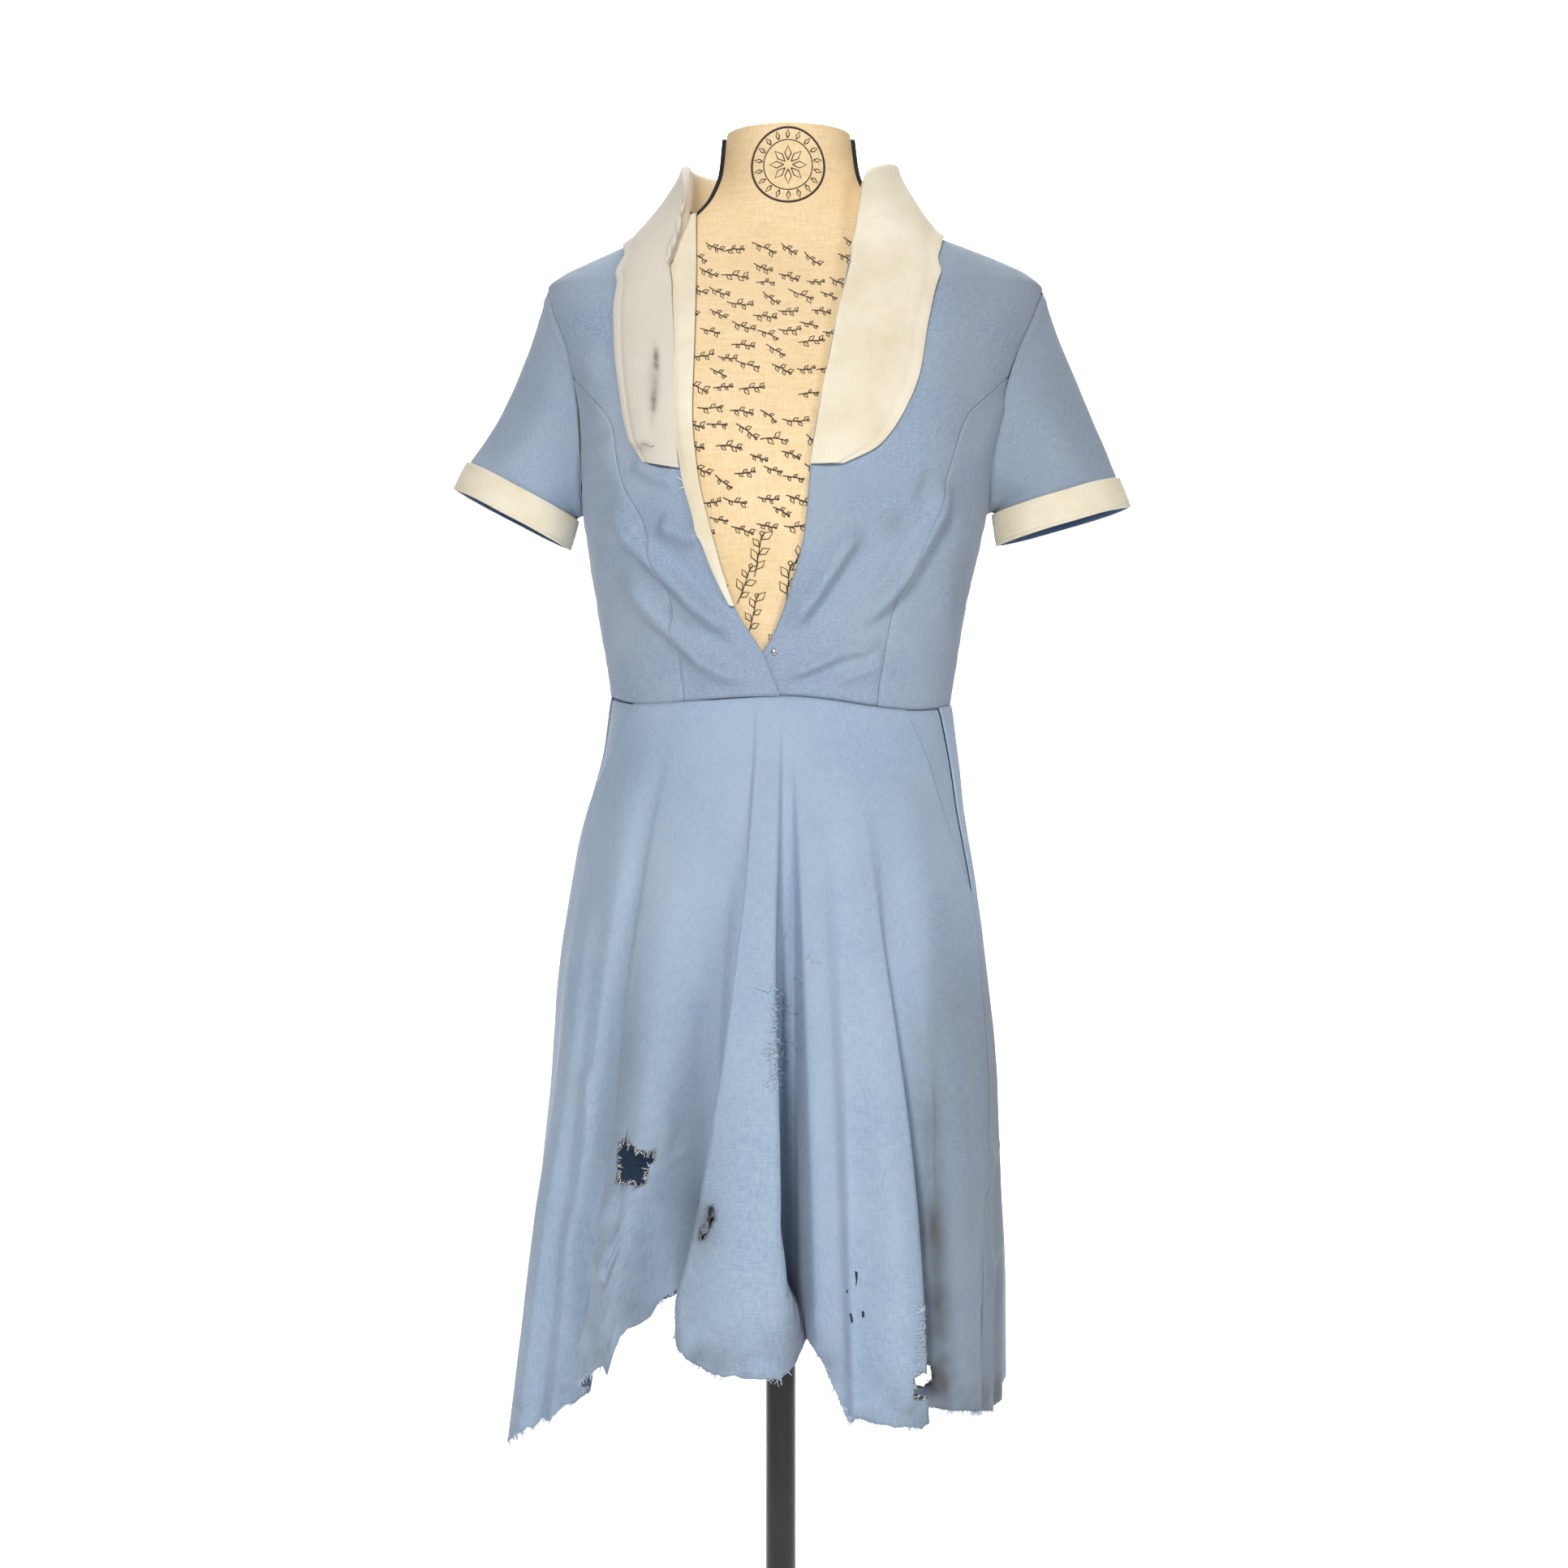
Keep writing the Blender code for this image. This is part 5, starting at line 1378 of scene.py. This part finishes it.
def printSprigs():
    draw = random.Random(sprigs["seed"])
    strands, placed = [], []

    def place(strokes, x, z, lean, back=False):
        for stroke in strokes:
            strand = []
            for a, b in stroke:
                across = x + a * math.cos(lean) - b * math.sin(lean)
                height = z + a * math.sin(lean) + b * math.cos(lean)
                if abs(across - body("shift", height)) > 0.93 * (body("side", height) - 0.004):
                    continue
                angle = frontAngle(across, height)
                strand.append(formPoint(180 - angle if back else angle, height, 0.00005))
            if len(strand) > 1:
                strands.append(strand)

    for i in range(sprigs["tries"]):
        x = draw.uniform(-sprigs["across"], sprigs["across"])
        z = draw.uniform(sprigs["low"], sprigs["high"])
        big = z < sprigs["bigBelow"]
        size = draw.uniform(0.028, 0.036) if big else draw.uniform(0.013, 0.021)
        if any(math.hypot(x - a, (z - b) * 1.25) < 0.44 * (size + other) + 0.003
               for a, b, other in placed):
            continue
        placed.append((x, z, size))
        lean = draw.uniform(0.9, 1.5) if big else draw.uniform(-0.75, 0.15)
        place(sprigStrokes(size, 5 if big else draw.choice((3, 4, 4)), draw), x, z, lean)
    # a wreath on the throat: two rings with leaves between them round a small open flower
    centre, radius = sprigs["ringCentre"], sprigs["ringRadius"]
    for share in (1.0, 0.97, 0.66):
        turns = [2 * math.pi * i / 48 for i in range(49)]
        place([[(radius * share * math.sin(turn), radius * share * math.cos(turn))
                for turn in turns]], *centre, 0.0)
    for i in range(18):
        turn = 2 * math.pi * i / 18
        leaf = [(0.70, -0.02), (0.80, -0.07), (0.93, 0.0), (0.80, 0.05), (0.70, -0.02)]
        place([[(radius * r * math.sin(turn + a), radius * r * math.cos(turn + a))
                for r, a in leaf]], *centre, 0.0)
    for i in range(8):
        turn = 2 * math.pi * i / 8
        petal = [(0.12, 0.0), (0.32, -0.28), (0.50, 0.0), (0.32, 0.28), (0.12, 0.0)]
        place([[(radius * r * math.sin(turn + a), radius * r * math.cos(turn + a))
                for r, a in petal]], *centre, 0.0)
    for x in (-0.040, -0.018, 0.010, 0.030):
        for z in (1.425, 1.447):
            place(sprigStrokes(0.013, 4, draw), x, z, 0.3, back=True)
    return strands


details["printed_sprigs"] = threads("printed_sprigs", printSprigs(), form["inkRadius"],
                                    materials["ink"])
print("form details ready")


# Frayed edges, snags and loose threads
fray = {"radius": 0.00026, "hemCount": 1500, "hemLength": (0.0020, 0.0065), "seed": 12,
        "looseRadius": 0.00034}


def surfaceOf(piece):
    points = [v.co.copy() for v in piece.data.vertices]
    return BVHTree.FromPolygons(points, [tuple(p.vertices) for p in piece.data.polygons])


frontTree = surfaceOf(pieces["skirt_front"])
bodiceTrees = [surfaceOf(pieces[name]) for name in ("bodice_front_left", "bodice_front_right")]


def wander(start, way, length, steps, loose, draw):
    # a strand that leaves its start one way and curls as it goes
    strand, point, way = [Vector(start)], Vector(start), Vector(way).normalized()
    for i in range(steps):
        way = (way + Vector([draw.uniform(-loose, loose) for k in range(3)])).normalized()
        point = point + way * length / steps
        strand.append(point.copy())
    return strand


def hemFringe():
    draw = random.Random(fray["seed"])
    strands = []
    for i in range(fray["hemCount"]):
        if i % 3:
            angle = skirtLine(draw.random(), 1.0)
        else:
            angle = 60 + 200 * draw.random()
        torn = raggedness(roundAngle(angle))
        start = skirtPoint(angle, 0.998, -cloth["wall"] / 2, torn)
        side = Vector((math.cos(math.radians(angle)), math.sin(math.radians(angle)), 0))
        way = Vector((0, 0, -1)) + side * draw.uniform(-0.9, 0.9)
        length = draw.uniform(*fray["hemLength"]) * (1.0 if i % 3 else 0.7)
        strands.append(wander(start, way, length, 4, 0.35, draw))
    return strands


def ripFringe():
    draw = random.Random(fray["seed"] + 1)
    strands = []
    for name, each, length in (("squareHole", 0.0012, 0.007), ("burntSlot", 0.003, 0.003),
                               ("lowHole", 0.0016, 0.005)):
        outline = rips[name]
        middle = [sum(values) / len(outline) for values in zip(*outline)]
        for (ax, az), (bx, bz) in zip(outline, outline[1:] + outline[:1]):
            for k in range(max(1, round(math.hypot(bx - ax, bz - az) / each))):
                t = draw.random()
                x, z = ax + (bx - ax) * t, az + (bz - az) * t
                inward = Vector((middle[0] - x, 0, middle[1] - z)).normalized()
                start = Vector((x, -0.4, z)) - inward * 0.0013
                hit = frontTree.ray_cast(start, Vector((0, 1, 0)))[0]
                if hit is None or hit.y > 0:
                    continue
                way = inward + Vector((draw.uniform(-0.7, 0.7), draw.uniform(-0.15, 0.25),
                                       draw.uniform(-0.9, 0.3)))
                strands.append(wander(hit + Vector((0, 0.0004, 0)), way,
                                      length * draw.uniform(0.4, 1.1), 5, 0.45, draw))
    return strands


def looseStrand(tree, path, lift, sag=0.0):
    # a thread lying on the cloth along points of the photograph
    strand = []
    steps = 6
    for (ax, ay), (bx, by) in zip(path, path[1:]):
        for i in range(steps):
            t = i / steps
            hit = onCloth(tree, ax + (bx - ax) * t, ay + (by - ay) * t,
                          lift + sag * math.sin(math.pi * t))
            if hit is not None:
                strand.append(hit)
    return strand


snags = {
    "left": ((846, 1236), (853, 1241), (862, 1236), (868, 1241), (874, 1237)),
    "leftTail": ((860, 1240), (864, 1247), (861, 1252)),
    "upperRight": ((992, 1182), (998, 1176), (1003, 1184), (998, 1188)),
    "upperRightTail": ((998, 1170), (1000, 1180), (1006, 1186), (1012, 1184)),
    "lowerRight": ((978, 1206), (985, 1202), (990, 1209), (984, 1212)),
    "pipeTop": ((962, 1135), (966, 1148), (961, 1156)),
    "pipeTopTail": ((958, 1146), (964, 1150), (970, 1146)),
    "bodice": ((1136, 420), (1141, 419), (1145, 422)),
}


def snagStrands():
    strands = []
    for name, path in snags.items():
        tree = bodiceTrees[0] if name == "bodice" else frontTree
        strands.append(looseStrand(tree, path, 0.0006, 0.0008))
    # the rubbed edge of the pipe: a ladder of pulled threads and loops
    draw = random.Random(fray["seed"] + 2)
    for i in range(58):
        y = draw.uniform(1212, 1336)
        x = 961 - (y - 1225) * 0.02 + draw.uniform(-11, 5)
        path = [(x, y)]
        for k in range(draw.choice((2, 3, 4))):
            path.append((path[-1][0] + draw.uniform(-9, 9), path[-1][1] + draw.uniform(-5, 9)))
        strands.append(looseStrand(frontTree, path, 0.0007, draw.uniform(0.0, 0.0022)))
    # the ragged edge above the low hole
    for i in range(46):
        y = draw.uniform(1604, 1700)
        x = 1130 - (y - 1604) * 0.02 + draw.uniform(-4, 4)
        path = [(x, y), (x + draw.uniform(3, 10), y + draw.uniform(-3, 4)),
                (x + draw.uniform(6, 15), y + draw.uniform(-4, 8))]
        strands.append(looseStrand(frontTree, path, 0.0007, 0.0006))
    return [strand for strand in strands if len(strand) > 2]


details["hem_fringe"] = threads("hem_fringe", hemFringe(), fray["radius"], materials["blueThread"])
details["rip_fringe"] = threads("rip_fringe", ripFringe(), fray["radius"],
                                materials["creamThread"])
details["snagged_threads"] = threads("snagged_threads", snagStrands(), fray["radius"],
                                     materials["blueThread"])


def charredSpots():
    # small ragged flakes of charred weave, lying on the cloth
    shape = bmesh.new()
    for seed, outline in enumerate(charMarks.values()):
        corners = []
        for x, z in raggedOutline(outline, seed + 7):
            hit = frontTree.ray_cast(Vector((x, -0.4, z)), Vector((0, 1, 0)))[0]
            corners.append(shape.verts.new(hit + Vector((0, -0.0003, 0))))
        shape.faces.new(corners)
    bmesh.ops.triangulate(shape, faces=shape.faces[:])
    mesh = bpy.data.meshes.new("charred_spots")
    shape.to_mesh(mesh)
    shape.free()
    mesh.materials.append(materials["charred"])
    piece = bpy.data.objects.new("charred_spots", mesh)
    scene.collection.objects.link(piece)
    return piece


details["charred_spots"] = charredSpots()
print("frayed threads ready")


# Stitching: short stitches a set pitch apart, sunk a little into the cloth
stitching = {"pitch": 0.0030, "length": 0.0021, "radius": 0.00020}


def stitchRun(place, count):
    # place(share) gives a point on the cloth; each stitch bows over two of them
    line = [place(i / count) for i in range(count + 1)]
    length = sum((b - a).length for a, b in zip(line, line[1:]))
    number = int(length / stitching["pitch"])
    reach = stitching["length"] / length
    run = []
    for i in range(number):
        share = (i + 0.5) / number
        ends = [alongLine(line, share + reach * k) for k in (-0.5, 0.0, 0.5)]
        run.append(ends)
    return run


def creamStitches():
    runs = []
    collarSeam = 0.90
    runs += stitchRun(lambda t: collarPoint(0.012 + 0.976 * t, collarSeam), 160)
    for name, sleeve in sleeves.items():
        for share in (0.13, 0.93):
            runs += stitchRun(lambda t: cuffOval(sleeve, 2 * math.pi * t, share,
                              cloth["seam"] + cloth["trimWall"] + 0.0002), 60)
    return runs


def blueStitches():
    runs = []
    for u in (0.012, 0.988):
        runs += stitchRun(lambda t: skirtFrontPoint(u, 1 - 0.255 * t), 60)
    for side, edge in ((-1, rightFrontEdge), (1, leftFrontEdge)):
        place = frontPanel(side, edge)
        across = 0.035 if side > 0 else 0.965
        low = 0.10 if side > 0 else 0.02
        runs += stitchRun(lambda t: place(across, low + (0.30 - low) * t), 60)
    return runs


details["trim_stitches"] = threads("trim_stitches", creamStitches(), stitching["radius"],
                                   materials["creamThread"])
details["seam_stitches"] = threads("seam_stitches", blueStitches(), stitching["radius"],
                                   materials["seamThread"])

# The white tag pin under the right leaf and the press stud where the fronts cross
pin = looseStrand(bodiceTrees[1], ((834, 588), (842, 592), (852, 596), (860, 594)), 0.0012, 0.0010)
pinTail = looseStrand(bodiceTrees[1], ((838, 602), (846, 598), (850, 590)), 0.0010)
details["tag_pin"] = threads("tag_pin", [s for s in (pin, pinTail) if len(s) > 2],
                             fray["looseRadius"] * 1.6, materials["creamThread"])


def pressStud():
    # a small round press stud: a flattened dome
    middle = onCloth(bodiceTrees[0], 954, 803, 0.0003) or onCloth(bodiceTrees[1], 954, 803, 0.0003)
    shape = bmesh.new()
    bmesh.ops.create_uvsphere(shape, u_segments=24, v_segments=12, radius=0.0026)
    for point in shape.verts:
        point.co = (point.co.x, point.co.y * 0.42, point.co.z)
    bmesh.ops.translate(shape, verts=shape.verts, vec=middle)
    mesh = bpy.data.meshes.new("press_stud")
    shape.to_mesh(mesh)
    shape.free()
    mesh.shade_smooth()
    mesh.materials.append(materials["steel"])
    piece = bpy.data.objects.new("press_stud", mesh)
    scene.collection.objects.link(piece)
    return piece


details["press_stud"] = pressStud()
print("stitches and fastenings ready")


# Each piece rides on the root and hides the CAD part of its name; the small details ride on the
# root, and the stand's metal parts take the enamel
for node, piece in pieces.items():
    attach(piece, "root")
    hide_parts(node)
    if node == "form_body":
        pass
    elif node.startswith(("collar", "cuff", "front_facing")):
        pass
    else:
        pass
for name, piece in details.items():
    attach(piece, "root")
for node in ("form_flange", "stand_pole", "stand_base"):
    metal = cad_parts[node]
    for slot in metal.material_slots:
        slot.material = materials["enamel"]
